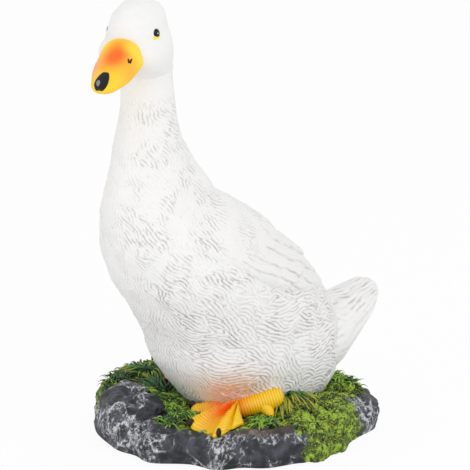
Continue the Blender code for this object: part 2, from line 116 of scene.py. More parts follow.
# Areas of the base by direction, in degrees from +X: where each begins, is full, fades and ends
MOSSY_WALL = (-5, 0, 40, 46)
MOSSY_REAR = (-150, -146, -126, -120)
FRONT_GRASS = (-82, -76, -60, -54)
BARE_STRIP = (-50, -44, -8, -3)
EARTHY_EDGE = (-54, -46, -8, 0)
SUNNY_SIDE = (-24, -6, 60, 90)

# The bare rock round the front boulder: its centre and reach in the part's frame
BARE_ROCK = ((-22.0, -112.0), (62.0, 38.0))

# Camera of the photograph, in degrees, metres and millimetres of lens
CAMERA_AZIMUTH = 55.0
CAMERA_ELEVATION = 15.0
CAMERA_DISTANCE = 2.6
CAMERA_TARGET = 0.202
CAMERA_LENS = 202.6

# Light from all round, and the two soft lamps: power in watts, width and place in metres
WORLD_LIGHT = 0.83
LAMPS = {"key": (12.0, 2.2, (1.9, -0.2, 1.6)), "fill": (6.5, 1.4, (0.2, -2.2, 0.3))}
LAMP_AIM = (0.0, 0.0, 0.2)

# The trunk from foot to neck: height, breast and back (both forward of the duck's middle), and
# half width
TRUNK = (
    (10, 40, -92, 52),
    (27, 50, -101, 60),
    (43, 62, -107, 69),
    (65, 79, -112, 77),
    (85, 91, -114, 82),
    (108, 98.4, -109.3, 81),
    (130, 110.9, -97.4, 81.5),
    (148, 122.1, -84.4, 81),
    (165, 134, -70.3, 80.4),
    (182, 141.2, -54.5, 77.5),
    (200, 146.8, -30, 71.5),
    (216, 149.8, -13, 65),
    (233, 151.3, 13, 56.5),
    (251, 150.5, 33, 48),
    (268, 146.5, 44, 42),
    (285, 143, 57, 37.2),
    (301, 139.5, 67.5, 33.6),
    (322, 135, 75.9, 29.3),
    (342, 131.6, 78.5, 26.3),
    (365, 131.5, 81, 25.2),
    (385, 131, 83, 24.5),
    (402, 129, 89, 20.5),
    (414, 124, 97, 13),
)

# The tail: centre forward, centre height, half width, rise above and drop below the centre
TAIL = (
    (-56, 84, 60, 30, 42),
    (-92, 84, 53, 31, 42),
    (-115, 91, 42, 27, 36),
    (-137, 101, 34, 22, 27),
    (-153, 110, 27, 18, 19),
    (-163, 115.5, 17, 10, 11),
)

# The head in level slices: height over its middle, centre ahead, reach to the front and to the
# rear, half width, and how square the front is
HEAD = (
    (-54, -9, 20, 21, 20.5, 2),
    (-46, -6, 23, 26, 24.5, 2.1),
    (-38, 1, 26, 31, 28, 2.3),
    (-30, 6, 28, 37, 31.5, 2.6),
    (-22, 8, 30.5, 39, 33, 3),
    (-15, 8, 31, 40, 32.5, 3),
    (-8, 6, 32, 39, 29.5, 2.8),
    (-3, 2.5, 34.5, 35.5, 27, 2.3),
    (3, 0, 35.5, 33, 25.8, 2.1),
    (10, -1, 33, 32, 24, 2.1),
    (18, -1, 28, 26, 19.8, 2.1),
    (24, -1, 19.5, 17, 13.5, 2),
    (27.5, -1, 10, 9, 7, 2),
    (28.7, -1, 2, 2, 1.5, 2),
)

# The bill: station as a share of its length, half width as a share of the widest, and how far its
# ridge lies above and its keel below the axis
BILL = (
    (-0.25, 0.80, 18.0, 9.0),
    (0.00, 0.99, 23.0, 9.0),
    (0.20, 1.00, 17.5, 8.5),
    (0.40, 0.99, 13.0, 8.0),
    (0.60, 0.87, 10.5, 7.0),
    (0.78, 0.69, 7.8, 5.5),
    (0.92, 0.44, 4.4, 4.0),
    (1.00, 0.14, 1.0, 1.0),
)

# The rock's outline at the ground: direction from +X in degrees, and radius
OUTLINE = (
    (-178, 124), (-164, 131), (-150, 139), (-134, 141), (-125, 140), (-115, 136), (-104, 132),
    (-94, 130), (-85, 125), (-76, 129), (-67, 120), (-54, 113), (-43, 121), (-33, 114),
    (-22, 118), (-10, 117), (-2, 119), (7, 127), (15, 122), (22, 126), (33, 121), (40, 123),
    (49, 131), (56, 140), (64, 139), (70, 132), (77, 127), (86, 123), (100, 125), (116, 130),
    (130, 125), (144, 129), (158, 121), (170, 123),
)

# Mounds on the rock: centre forward and left of the duck's middle, radius, height, and the
# share of the radius at which the slope begins
MOUNDS = (
    (106, -40, 44, 9, 0.30),
    (58, -88, 38, 13, 0.20),
    (28, -100, 34, 12, 0.10),
    (-10, 82, 30, 13, 0.15),
    (42, -82, 32, 17, 0.15),
    (94, -96, 42, 11, 0.40),
    (-44, 88, 50, 8, 0.30),
    (-92, 44, 42, 10, 0.20),
    (-88, -58, 48, 9, 0.20),
)
DIPS = (
    (100, 80, 46, -7, 0.15),
)

# Loose rocks set in the slab: centre in the part's frame, half sizes, and turn in degrees
ROCKS = (
    ((61.0, 99.0, 21.0), (24.0, 30.0, 13.5), -30.0),
    ((-42.0, -96.0, 23.0), (47.0, 33.0, 26.0), -23.0),
)


def spline(stations, values):
    """A smooth curve through the points, as a function of the station: a natural cubic."""
    x = np.asarray(stations, float)
    y = np.asarray(values, float)
    n = len(x)
    h = np.diff(x)
    system = np.eye(n)
    right = np.zeros(n)
    for i in range(1, n - 1):
        system[i, i - 1 : i + 2] = h[i - 1], 2 * (h[i - 1] + h[i]), h[i]
        right[i] = 6 * ((y[i + 1] - y[i]) / h[i] - (y[i] - y[i - 1]) / h[i - 1])
    bend = np.linalg.solve(system, right)

    def at(t):
        t = np.asarray(t, float)
        k = np.clip(np.searchsorted(x, t) - 1, 0, n - 2)
        a = (x[k + 1] - t) / h[k]
        b = (t - x[k]) / h[k]
        curve = (a**3 - a) * bend[k] + (b**3 - b) * bend[k + 1]
        return a * y[k] + b * y[k + 1] + curve * h[k] ** 2 / 6

    return at


def columns(table):
    """One spline for each column after the first."""
    rows = np.array(table)
    return [spline(rows[:, 0], rows[:, k]) for k in range(1, rows.shape[1])]


def step(x, low, high):
    """0 below low, 1 above high, and smooth between."""
    t = np.clip((np.asarray(x, float) - low) / (high - low), 0, 1)
    return t * t * (3 - 2 * t)


def lumps(points, size, seed=0.0):
    """Soft noise from -1 to 1 at each point, with lumps of about this size."""
    shift = Vector((seed * 17.3, seed * 7.7, seed * 3.1))
    values = [noise.noise(Vector(p) / size + shift) for p in points.reshape(-1, 3)]
    return np.reshape(values, points.shape[:-1])


def bell(x, width, power=2):
    """1 where x is 0, falling to 0 on both sides over about this width."""
    return np.exp(-((x / width) ** power))


def stripes(x, width):
    """A narrow stripe in the middle of each whole step of x."""
    return bell(x - np.floor(x) - 0.5, width)


def window(x, low, full, fading, gone):
    """0 below low, 1 from full to fading, and 0 above gone."""
    return step(x, low, full) * (1 - step(x, fading, gone))


def spot(points, centre, size):
    """A soft spot of this size, 1 at its centre."""
    return np.exp(-((((points - centre) / size) ** 2).sum(-1)))


def signed_power(x, power):
    """A power of x that keeps its sign."""
    return np.sign(x) * np.abs(x) ** power


def unit(vectors):
    """The same directions with length 1."""
    return vectors / np.linalg.norm(vectors, axis=-1, keepdims=True)


def full_circle(count):
    """Evenly spaced turns, in radians."""
    return np.linspace(0, 2 * math.pi, count, endpoint=False)


def stacked(*axes):
    """Points from their coordinates, each an array or a single number."""
    return np.stack(np.broadcast_arrays(*axes), -1)


def to_row(points):
    """Duck's own axes (forward, left, up) to the part's frame, both in millimetres."""
    points = np.asarray(points, float)
    forward = points[..., 0] + DUCK_FORWARD
    left = points[..., 1] + DUCK_LEFT
    return stacked(left, -forward, points[..., 2])


def ring_faces(count, around):
    """Quads between rings of points, and a fan at each end, as vertex numbers."""
    i, j = np.meshgrid(np.arange(count - 1), np.arange(around), indexing="ij")
    k = (j + 1) % around
    row = i * around
    quads = stacked(row + j, row + k, row + around + k, row + around + j)
    j = np.arange(around)
    k = (j + 1) % around
    last = (count - 1) * around
    low = stacked(count * around, k, j)
    high = stacked(count * around + 1, last + j, last + k)
    return quads.reshape(-1, 4), np.concatenate([low, high])


def solid(rings, **values):
    """A closed form from rings of points: (points, quads, triangles, values by name)."""
    rings = np.asarray(rings, float)
    count, around = rings.shape[:2]
    points = np.concatenate([rings.reshape(-1, 3), rings[0].mean(0)[None], rings[-1].mean(0)[None]])
    quads, fans = ring_faces(count, around)
    a, b, c, d = (points[quads[:, k]] for k in range(4))
    middle = points.mean(0)
    volume = ((a - middle) * np.cross(b - middle, c - middle)).sum()
    volume += ((a - middle) * np.cross(c - middle, d - middle)).sum()
    if volume < 0:
        quads, fans = quads[:, ::-1], fans[:, ::-1]
    spread = {}
    for name, value in values.items():
        value = np.broadcast_to(np.asarray(value, float), (count, around))
        spread[name] = np.concatenate([value.ravel(), [value[0].mean(), value[-1].mean()]])
    return points, quads, fans, spread


def piece(name, forms, material, normals=None):
    """One object from closed forms in the row frame. It rides on the statue's body."""
    points, faces, start = [], [], 0
    for form in forms:
        points.append(form[0])
        faces += (form[1] + start).tolist() + (form[2] + start).tolist()
        start += len(form[0])
    mesh = bpy.data.meshes.new(name)
    mesh.from_pydata((np.concatenate(points) * MM).tolist(), [], faces)
    for key in forms[0][3]:
        layer = mesh.attributes.new(key, "FLOAT", "POINT")
        layer.data.foreach_set("value", np.concatenate([form[3][key] for form in forms]))
    mesh.shade_smooth()
    if normals is not None:
        mesh.normals_split_custom_set_from_vertices(normals.tolist())
    mesh.materials.append(material)
    obj = bpy.data.objects.new(name, mesh)
    bpy.context.scene.collection.objects.link(obj)
    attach(obj, "root")
    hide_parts("duck_statue")


def rod(start, end, radius, end_radius, stations, around, ribs=0.0, blunt=8):
    """Rings of a round bar between two points, with rounded ends and perhaps ribs."""
    start, end = np.asarray(start, float), np.asarray(end, float)
    length = np.linalg.norm(end - start)
    axis = (end - start) / length
    side = unit(np.cross(axis, (0.0, 0.0, 1.0)))
    other = np.cross(axis, side)
    turns = full_circle(around)
    circle = np.outer(np.cos(turns), side) + np.outer(np.sin(turns), other)
    s = np.linspace(0.0, 1.0, stations)
    wide = radius + (end_radius - radius) * s
    wide = wide * np.sqrt(np.maximum(0.03, 1 - (2 * s - 1) ** blunt))
    slant = 1.3 * np.cos(turns) + 0.7 * np.sin(3 * turns)
    wide = wide[:, None] + ribs * np.cos(2 * math.pi * s[:, None] * length / RIB_PITCH + slant)
    return start + (end - start) * s[:, None, None] + wide[..., None] * circle


def ellipsoid(centre, axes, half, lats=24, around=36):
    """Rings of an ellipsoid along three axes."""
    turns = full_circle(around)
    lat = np.linspace(0.03, math.pi - 0.03, lats)[:, None]
    x = half[0] * np.sin(lat) * np.cos(turns)
    y = half[1] * np.sin(lat) * np.sin(turns)
    return np.asarray(centre) + stacked(x, y, half[2] * np.cos(lat)) @ np.asarray(axes)


trunk_breast, trunk_back, trunk_half_width = columns(TRUNK)


def trunk_middle(height):
    """Centre forward and half length of the trunk's slice at this height."""
    breast = trunk_breast(height)
    back = trunk_back(height)
    return (breast + back) / 2, (breast - back) / 2


def trunk_point(height, turn):
    """A point of the bare trunk: turn 0 is the breast, and a quarter turn its left side."""
    middle, half = trunk_middle(height)
    egg = 0.13 * step(250.0 - height, 0.0, 60.0)
    forward = middle + half * np.cos(turn)
    left = trunk_half_width(height) * np.sin(turn) * (1 + egg * np.cos(turn))
    return stacked(forward, left, height)


def trunk_turn(forward, left, height):
    """The turn of the trunk's point nearest to this place, by its slice."""
    middle, half = trunk_middle(height)
    return np.arctan2(left / trunk_half_width(height), (forward - middle) / half)


# The folded wing in side view: its axis from shoulder to tip, as (forward, height)
WING_SHOULDER = (62.0, 232.0)
WING_TIP = (-84.0, 142.0)
WING_EDGE = (
    (-0.05, 8.0), (0.00, 18.0), (0.05, 24.5), (0.13, 30.0), (0.27, 32.5), (0.40, 32.0),
    (0.54, 29.0), (0.72, 20.0), (0.86, 10.5), (1.00, 1.5),
)
wing_lower_edge = spline(*np.array(WING_EDGE).T)

# Where the long, the middle and the short feathers end, as shares of the wing's axis
PRIMARY_ENDS = (0.955, 0.985)
SECONDARY_ENDS = (0.655, 0.675)
COVERT_ENDS = (0.34, 0.37)


def wing_axes(forward, height):
    """Share of the way along the folded wing, and distance below its axis."""
    start = np.array(WING_SHOULDER)
    along = np.array(WING_TIP) - start
    length = np.hypot(*along)
    df, dh = forward - start[0], height - start[1]
    share = (df * along[0] + dh * along[1]) / length**2
    below = (df * -along[1] + dh * along[0]) / length
    return share, below


def trunk_normals(points):
    """Outward directions on the trunk's slices, near enough for low relief."""
    forward, left, height = points.T
    middle, half = trunk_middle(height)
    width = trunk_half_width(height)
    normal = unit(stacked((forward - middle) / half**2, left / width**2, 0.0))
    turn = trunk_turn(forward, left, height)
    slope = unit(trunk_point(height + 2.0, turn) - trunk_point(height - 2.0, turn))
    return unit(normal - (normal * slope).sum(1, keepdims=True) * slope)


def head_frame(pitch):
    """Axes (ahead, left, up) of the head, turned to the left and pitched down."""
    yaw = math.radians(HEAD_YAW)
    down = math.radians(pitch)
    level = math.cos(down)
    ahead = np.array([level * math.cos(yaw), level * math.sin(yaw), -math.sin(down)])
    left = np.array([-math.sin(yaw), math.cos(yaw), 0.0])
    return np.stack([ahead, left, np.cross(ahead, left)])


def head_place(points, pitch=HEAD_PITCH, root=(0.0, 0.0, 0.0)):
    """Points given ahead, left and up of a root in the head's frame, in the duck's axes."""
    centre = np.array([HEAD_FORWARD, HEAD_LEFT, HEAD_HEIGHT])
    centre = centre + np.array(root) @ head_frame(HEAD_PITCH)
    return centre + np.asarray(points) @ head_frame(pitch)


def base_radius(angle):
    """Radius of the rock at the ground in this direction, in radians."""
    rows = np.array(OUTLINE, float)
    wrapped = np.vstack([rows[-4:] - (360, 0), rows, rows[:4] + (360, 0)])
    curve = spline(np.radians(wrapped[:, 0]), wrapped[:, 1])
    angle = (np.asarray(angle) + math.pi) % (2 * math.pi) - math.pi
    return curve(angle)


def mound(x, y, spec):
    """Height of a round mound at a place in the part's frame."""
    cx, cy = to_row((spec[0], spec[1], 0.0))[:2]
    away = np.hypot(x - cx, y - cy) / spec[2]
    return spec[3] * (1 - step(away, spec[4], 1.0))


def ground(x, y):
    """Height of the rock's and the moss's top at a place in the part's frame."""
    raised = np.max([mound(x, y, spec) for spec in MOUNDS], axis=0)
    sunk = np.sum([mound(x, y, spec) for spec in DIPS], axis=0)
    return BASE_THICKNESS + raised + sunk


# Each foot, in the duck's axes: where the toes meet, the raised heel joint behind, the tips of the
# inner, middle and outer toe and of the small side toe, and the tip of the hind toe
FEET = (
    (
        (42.0, 58.0, 43.0), (4.0, 79.0, 54.0),
        ((68.0, 17.0), (95.0, 54.0), (85.0, 88.0), (58.0, 87.0)), (20.0, 87.0),
    ),
    (
        (0.0, -58.0, 43.0), (-38.0, -72.0, 54.0),
        ((26.0, -17.0), (53.0, -54.0), (43.0, -88.0), (16.0, -87.0)), (-22.0, -87.0),
    ),
)
TOE_SHARES = (-1.0, -0.15, 0.6, 1.0)


def srgb(red, green, blue):
    """A colour written as 0 to 255, as the shader wants it."""
    levels = np.array([red, green, blue]) / 255.0
    linear = np.where(levels <= 0.04045, levels / 12.92, ((levels + 0.055) / 1.055) ** 2.4)
    return (*linear.tolist(), 1.0)


class Finish:
    """A painted finish, put together from a few kinds of node."""

    def __init__(self, name, roughness, coat=0.0):
        self.material = bpy.data.materials.new(name)
        self.material.use_nodes = True
        self.nodes = self.material.node_tree.nodes
        self.links = self.material.node_tree.links
        self.shader = self.nodes["Principled BSDF"]
        self.shader.inputs["Roughness"].default_value = roughness
        self.shader.inputs["Coat Weight"].default_value = coat
        self.shader.inputs["Coat Roughness"].default_value = 0.12
        self.place = self.nodes.new("ShaderNodeTexCoord").outputs["Object"]

    def put(self, socket, value):
        """Feeds a socket from another socket, or sets it to a fixed value."""
        if isinstance(value, bpy.types.NodeSocket):
            self.links.new(value, socket)
        else:
            socket.default_value = value

    def attribute(self, name):
        """A value stored at the mesh's points."""
        node = self.nodes.new("ShaderNodeAttribute")
        node.attribute_name = name
        return node.outputs["Fac"]

    def noise(self, size, detail=3.0, roughness=0.55, shift=0.0, stretch=(1.0, 1.0, 1.0)):
        """Noise with features of about this size in millimetres."""
        mapping = self.nodes.new("ShaderNodeMapping")
        mapping.inputs["Location"].default_value = (shift, shift * 0.7, shift * 0.3)
        mapping.inputs["Scale"].default_value = stretch
        self.links.new(self.place, mapping.inputs["Vector"])
        node = self.nodes.new("ShaderNodeTexNoise")
        node.inputs["Scale"].default_value = 1000.0 / size
        node.inputs["Detail"].default_value = detail
        node.inputs["Roughness"].default_value = roughness
        self.links.new(mapping.outputs["Vector"], node.inputs["Vector"])
        return node.outputs["Fac"]

    def ramp(self, value, low, high):
        """0 where the value is below low, 1 above high."""
        node = self.nodes.new("ShaderNodeMapRange")
        node.interpolation_type = "SMOOTHSTEP"
        node.inputs["From Min"].default_value = low
        node.inputs["From Max"].default_value = high
        self.links.new(value, node.inputs["Value"])
        return node.outputs["Result"]

    def combine(self, kind, first, second):
        """One arithmetic step whose result stays from 0 to 1."""
        node = self.nodes.new("ShaderNodeMath")
        node.operation = kind
        node.use_clamp = True
        self.put(node.inputs[0], first)
        self.put(node.inputs[1], second)
        return node.outputs["Value"]

    def times(self, first, second):
        """The product of two values."""
        return self.combine("MULTIPLY", first, second)

    def plus(self, first, second):
        """The sum of two values."""
        return self.combine("ADD", first, second)

    def uneven(self, size, swing, base):
        """A value that wanders up from its base by up to this swing."""
        return self.plus(self.times(self.noise(size), swing), base)

    def mix(self, share, first, second):
        """The second colour over the first one by this share."""
        node = self.nodes.new("ShaderNodeMix")
        node.data_type = "RGBA"
        self.put(node.inputs["Factor"], share)
        self.put(node.inputs["A"], first)
        self.put(node.inputs["B"], second)
        return node.outputs["Result"]

    def done(self, colour, height=None, depth=0.2, roughness=None):
        """Sets the colour, a bump of this depth in millimetres, and perhaps the roughness."""
        self.put(self.shader.inputs["Base Color"], colour)
        if roughness is not None:
            self.put(self.shader.inputs["Roughness"], roughness)
        if height is not None:
            bump = self.nodes.new("ShaderNodeBump")
            bump.inputs["Distance"].default_value = depth * MM
            self.links.new(height, bump.inputs["Height"])
            self.links.new(bump.outputs["Normal"], self.shader.inputs["Normal"])
        return self.material


def resin_finish():
    """White painted resin, with a thin grey-brown wash in the grooves and a peach airbrush."""
    f = Finish("white_resin", 0.5)
    patchy = f.ramp(f.noise(7.0, 4.0, 0.6, 0.1), 0.25, 0.52)
    groove = f.times(f.attribute("groove"), patchy)
    white = f.mix(f.noise(14.0, 4.0), srgb(240, 240, 240), srgb(246, 245, 243))
    pits = f.ramp(f.noise(3.2, 4.0, 0.7, 0.4), 0.60, 0.70)
    pits = f.times(pits, f.attribute("pitted"))
    colour = f.mix(f.times(pits, 0.35), white, srgb(168, 163, 158))
    colour = f.mix(groove, colour, srgb(112, 98, 88))
    blush = f.times(f.attribute("blush"), f.ramp(f.noise(4.0, 5.0, 0.65, 0.7), 0.2, 0.62))
    peach = f.mix(groove, srgb(234, 182, 146), srgb(150, 92, 62))
    colour = f.mix(blush, colour, peach)
    return f.done(colour, f.noise(1.1, 3.0, 0.7), 0.22, f.uneven(6.0, 0.2, 0.38))


def bill_finish():
    """Yellow paint, airbrushed orange-red over the ridge and pink on the far edge."""
    f = Finish("bill_paint", 0.36, 0.03)
    base = f.mix(f.noise(7.0, 3.0), srgb(255, 200, 20), srgb(255, 216, 44))
    colour = f.mix(f.attribute("warm"), base, srgb(255, 178, 52))
    colour = f.mix(f.attribute("orange"), colour, srgb(255, 108, 0))
    colour = f.mix(f.attribute("pink"), colour, srgb(255, 150, 118))
    colour = f.mix(f.attribute("edge"), colour, srgb(255, 226, 52))
    return f.done(colour, f.noise(1.6, 3.0), 0.12, f.uneven(5.0, 0.15, 0.34))


def foot_finish():
    """Yellow paint with orange-red along the toes and darker lines between the ribs."""
    f = Finish("foot_paint", 0.38, 0.06)
    base = f.mix(f.noise(5.0, 3.0), srgb(255, 202, 4), srgb(255, 224, 36))
    colour = f.mix(f.attribute("orange"), base, srgb(250, 90, 8))
    colour = f.mix(f.times(f.attribute("groove"), 0.7), colour, srgb(206, 106, 4))
    return f.done(colour, f.noise(1.4, 3.0, 0.7), 0.2, f.uneven(4.0, 0.2, 0.28))


def gloss_finish(name, colour, second, roughness):
    """A small glossy painted spot."""
    f = Finish(name, roughness, 0.15)
    f.shader.inputs["Specular IOR Level"].default_value = 0.2
    return f.done(f.mix(f.noise(2.5, 3.0), colour, second), f.noise(1.0), 0.03)


def ground_finish():
    """Dark slate rock with white dry-brushed crests, and moss where the moss grows. The moss is
    painted dark in the hollows between its cushions and light on their tops, as painted shade and
    light, and painted sunlight brightens its yellow tips on the sunny side.
    """
    f = Finish("rock_and_moss", 0.6)
    crest = f.attribute("crest")
    streak = f.noise(3.0, 9.0, 0.82, 0.3, (1.0, 1.0, 0.6))
    region = f.noise(30.0, 3.0, 0.5, 0.8)
    rise = f.times(crest, 0.09)
    drag = f.plus(f.times(streak, 0.93), rise)
    area = f.plus(f.times(region, 0.93), rise)
    dry = f.times(f.ramp(drag, 0.46, 0.58), f.ramp(area, 0.45, 0.58))
    cloudy = f.ramp(f.noise(11.0, 6.0, 0.6, 0.9), 0.35, 0.75)
    slate = f.mix(cloudy, srgb(26, 28, 35), srgb(76, 79, 89))
    white = f.mix(f.noise(2.5, 5.0, 0.7, 0.2), srgb(158, 161, 170), srgb(250, 250, 252))
    rock = f.mix(dry, slate, white)
    rock = f.mix(f.times(f.attribute("earth"), 0.8), rock, srgb(84, 72, 64))
    clumps_and_painted_light = f.ramp(f.noise(4.5, 4.0, 0.7, 0.5), 0.38, 0.58)
    # Painted shade and light: on the moss the crest is the cushions' height, so the clumps stay
    # dark in the hollows and turn light on the tops.
    clumps_and_painted_light = f.times(clumps_and_painted_light, f.plus(crest, 0.25))
    moss = f.mix(clumps_and_painted_light, srgb(12, 34, 18), srgb(150, 188, 56))
    # The yellow tips are partly the moss's own colour and partly painted sunlight, set by the sunny
    # share.
    tips = f.ramp(f.noise(1.9, 3.0, 0.7, 0.15), 0.54, 0.68)
    tips = f.times(tips, f.attribute("sunny"))
    moss = f.mix(tips, moss, srgb(206, 208, 44))
    colour = f.mix(f.attribute("moss"), rock, moss)
    rough = f.mix(f.attribute("moss"), (0.5, 0.5, 0.5, 1), (0.75, 0.75, 0.75, 1))
    return f.done(colour, f.noise(2.2, 5.0, 0.7), 0.8, rough)


def grass_finish(name, deep, green, tip):
    """Painted blades: dark at the root as painted shade among them, deep to green by a tone that is
    partly random and partly painted light and shade, and yellow at the tips, partly their own
    colour and partly painted sunlight.
    """
    f = Finish(name, 0.5, 0.15)
    body = f.mix(f.attribute("tone_and_light"), deep, green)
    # Painted shade: the lower half of each blade darkens towards its root.
    body = f.mix(f.ramp(f.attribute("along"), 0.0, 0.5), srgb(16, 42, 26), body)
    ends = f.times(f.ramp(f.attribute("along"), 0.45, 0.95), f.attribute("sunny"))
    colour = f.mix(ends, body, tip)
    return f.done(colour, f.noise(1.3, 3.0, 0.7), 0.2)


def wing_form(forward, left, height):
    """The folded wing: its relief, its painted seams, and where it covers the body."""
    share, below = wing_axes(forward, height)
    edge = wing_lower_edge(np.clip(share, -0.05, 1))
    points = stacked(forward, left, height)
    wander = 1.3 * lumps(points, 24.0, 22.0) + 0.8 * lumps(points, 9.0, 23.0)
    row = below / FEATHER_PITCH + 0.4 + 0.9 * share + 0.20 * wander
    across = row - np.floor(row)
    tip = 0.035 * (1 - (2 * across - 1) ** 2)
    end = share - tip + 0.010 * wander
    inside = step(share, -0.085, 0.075)
    inside *= step((edge - below) / (7.5 - 3.0 * step(share, 0.5, 0.9)), -0.35, 1.0)
    primary = 1 - step(end, *PRIMARY_ENDS)
    secondary = 1 - step(end + 0.005 * below, *SECONDARY_ENDS)
    covert = 1 - step(end + 0.0072 * below, *COVERT_ENDS)
    layer = 0.52 * primary + 0.30 * secondary + 0.18 * covert
    vane = across * (1 - step(across, 0.86, 1.0)) * (1 - covert)
    valley = 0.5 + 0.5 * step(np.abs(left), 1.0, 12.0)
    taper = 1 - 0.3 * step(share, 0.6, 1.0)
    cover = inside * (1 - step(height, 236.0, 258.0))
    feathered = (1 - covert) * primary * cover
    seam = bell(across - 0.96, 0.07) * feathered
    seam *= 0.25 + 0.75 * step(lumps(points, 12.0, 26.0), -0.2, 0.2)
    barb = stripes(below / 3.1 + 0.8 * np.sin(share * 9.0) + row * 0.37, 0.2) * feathered
    relief = cover * valley * taper * (WING_THICKNESS * layer + FEATHER_STEP * vane * primary)
    relief -= valley * (SEAM_DEPTH * seam + 0.3 * barb)
    return relief, 0.24 * seam + 0.10 * barb, cover, covert * cover


# The top of the left leg in the duck's axes, how far behind it the right one stands, and how far
# off the feathers begin to turn towards a leg
LEG_TOP = np.array([12.0, 74.0, 62.0])
RIGHT_LEG_BACK = 42.0
LEG_PULL = 42.0


def flow_field(points):
    """The way the feathers lie: down the breast, back along the sides, and towards the legs."""
    width = trunk_half_width(points[:, 2])
    low = 1 - step(points[:, 2], 70.0, 235.0)
    side = step(np.abs(points[:, 1]) / width, 0.15, 0.75)
    flow = np.zeros(points.shape)
    flow[:, 2] = -1.0 + 0.35 * low * side
    flow[:, 0] = -(0.25 + 0.7 * side + 2.4 * low * side)
    for way in (1.0, -1.0):
        leg = LEG_TOP * (1.0, way, 1.0) - (0.0 if way > 0 else RIGHT_LEG_BACK, 0.0, 0.0)
        gap = leg - points
        away = np.linalg.norm(gap, axis=1, keepdims=True)
        flow += 2.6 * bell(away, LEG_PULL) * gap / (away + 1e-6)
    return flow


def tuft_seeds():
    """Roots of the carved tufts on the trunk: height, turn, bend, waviness and strength."""
    rng = np.random.default_rng(5)
    seeds = []
    height, row = 14.0, 0
    while height < 368.0:
        middle, half = trunk_middle(height)
        girth = math.pi * (half + float(trunk_half_width(height)))
        count = int(girth / (TUFT_WIDTH * 0.8))
        for k in range(count):
            turn = (k + 0.5 * (row % 2) + rng.uniform(-0.3, 0.3)) / count * 2 * math.pi
            bend, wave = rng.uniform(-0.5, 0.5), rng.uniform(-1, 1)
            strength = rng.uniform(0.55, 1.0)
            seeds.append((height + rng.uniform(-4, 4), turn, bend, wave, strength))
        height += TUFT_LENGTH * 0.42
        row += 1
    return np.array(seeds)


def plumage(rows):
    """Carved plumage over rows of the trunk's points: relief, and grooves that hold the wash."""
    seeds = tuft_seeds()
    centre = trunk_point(seeds[:, 0], seeds[:, 1])
    outward = trunk_normals(centre)
    flow = flow_field(centre)
    flow = unit(flow - (flow * outward).sum(1, keepdims=True) * outward)
    turn = (0.95 * lumps(centre, 52.0, 6.0) + 0.35 * seeds[:, 2])[:, None]
    across = np.cross(outward, flow)
    ahead = np.cos(turn) * flow + np.sin(turn) * across
    across = np.cos(turn) * across - np.sin(turn) * flow
    relief = np.zeros(rows.shape[:2])
    groove = np.zeros(rows.shape[:2])
    reach = TUFT_LENGTH * 0.75
    for start in range(0, len(rows), 6):
        block = rows[start : start + 6]
        points = block.reshape(-1, 3)
        low, high = points[:, 2].min() - reach, points[:, 2].max() + reach
        near = (seeds[:, 0] > low) & (seeds[:, 0] < high)
        if not near.any():
            continue
        gap = points[:, None, :] - centre[near][None]
        s = np.einsum("ijk,jk->ij", gap, ahead[near]) / TUFT_LENGTH + 0.5
        q = np.einsum("ijk,jk->ij", gap, across[near]) / (TUFT_WIDTH * 0.55)
        lift = np.einsum("ijk,jk->ij", gap, outward[near])
        _, _, bend, wave, strength = seeds[near].T
        q = q + 0.8 * bend * (2 * s - 1) ** 2 + 0.3 * wave * np.sin(8.5 * s + 3 * strength)
        shape = np.clip(s, 0, 1) * step(1 - 0.4 * q**2 - s, 0.0, 0.10)
        shape = shape * step(1.08 - np.abs(q), 0, 0.22)
        shape *= (s > 0) & (np.abs(lift) < 16)
        best = shape.argmax(1)
        index = np.arange(len(points))
        top, s, q = shape[index, best], s[index, best], q[index, best]
        strength = strength[best]
        strand = q * (1 + 0.2 * s) * STRANDS / 2 + best * 0.37 + 0.25 * np.sin(s * 7 + best)
        valley = stripes(strand, 0.135) * strength
        valley *= step(s, 0.02, 0.30) * (1 - 0.7 * step(s, 0.75, 1.0))
        carved = TUFT_RELIEF * top - STRAND_DEPTH * valley
        wash = 0.85 * valley + 0.5 * strength * (1 - step(top, 0.0, 0.12))
        relief[start : start + 6] = carved.reshape(block.shape[:2])
        groove[start : start + 6] = wash.reshape(block.shape[:2])
    return relief, groove


def grid_normals(points):
    """Outward directions on a closed grid of rings."""
    along = np.gradient(points, axis=0)
    around = np.roll(points, -1, 1) - np.roll(points, 1, 1)
    return unit(np.cross(around, along))


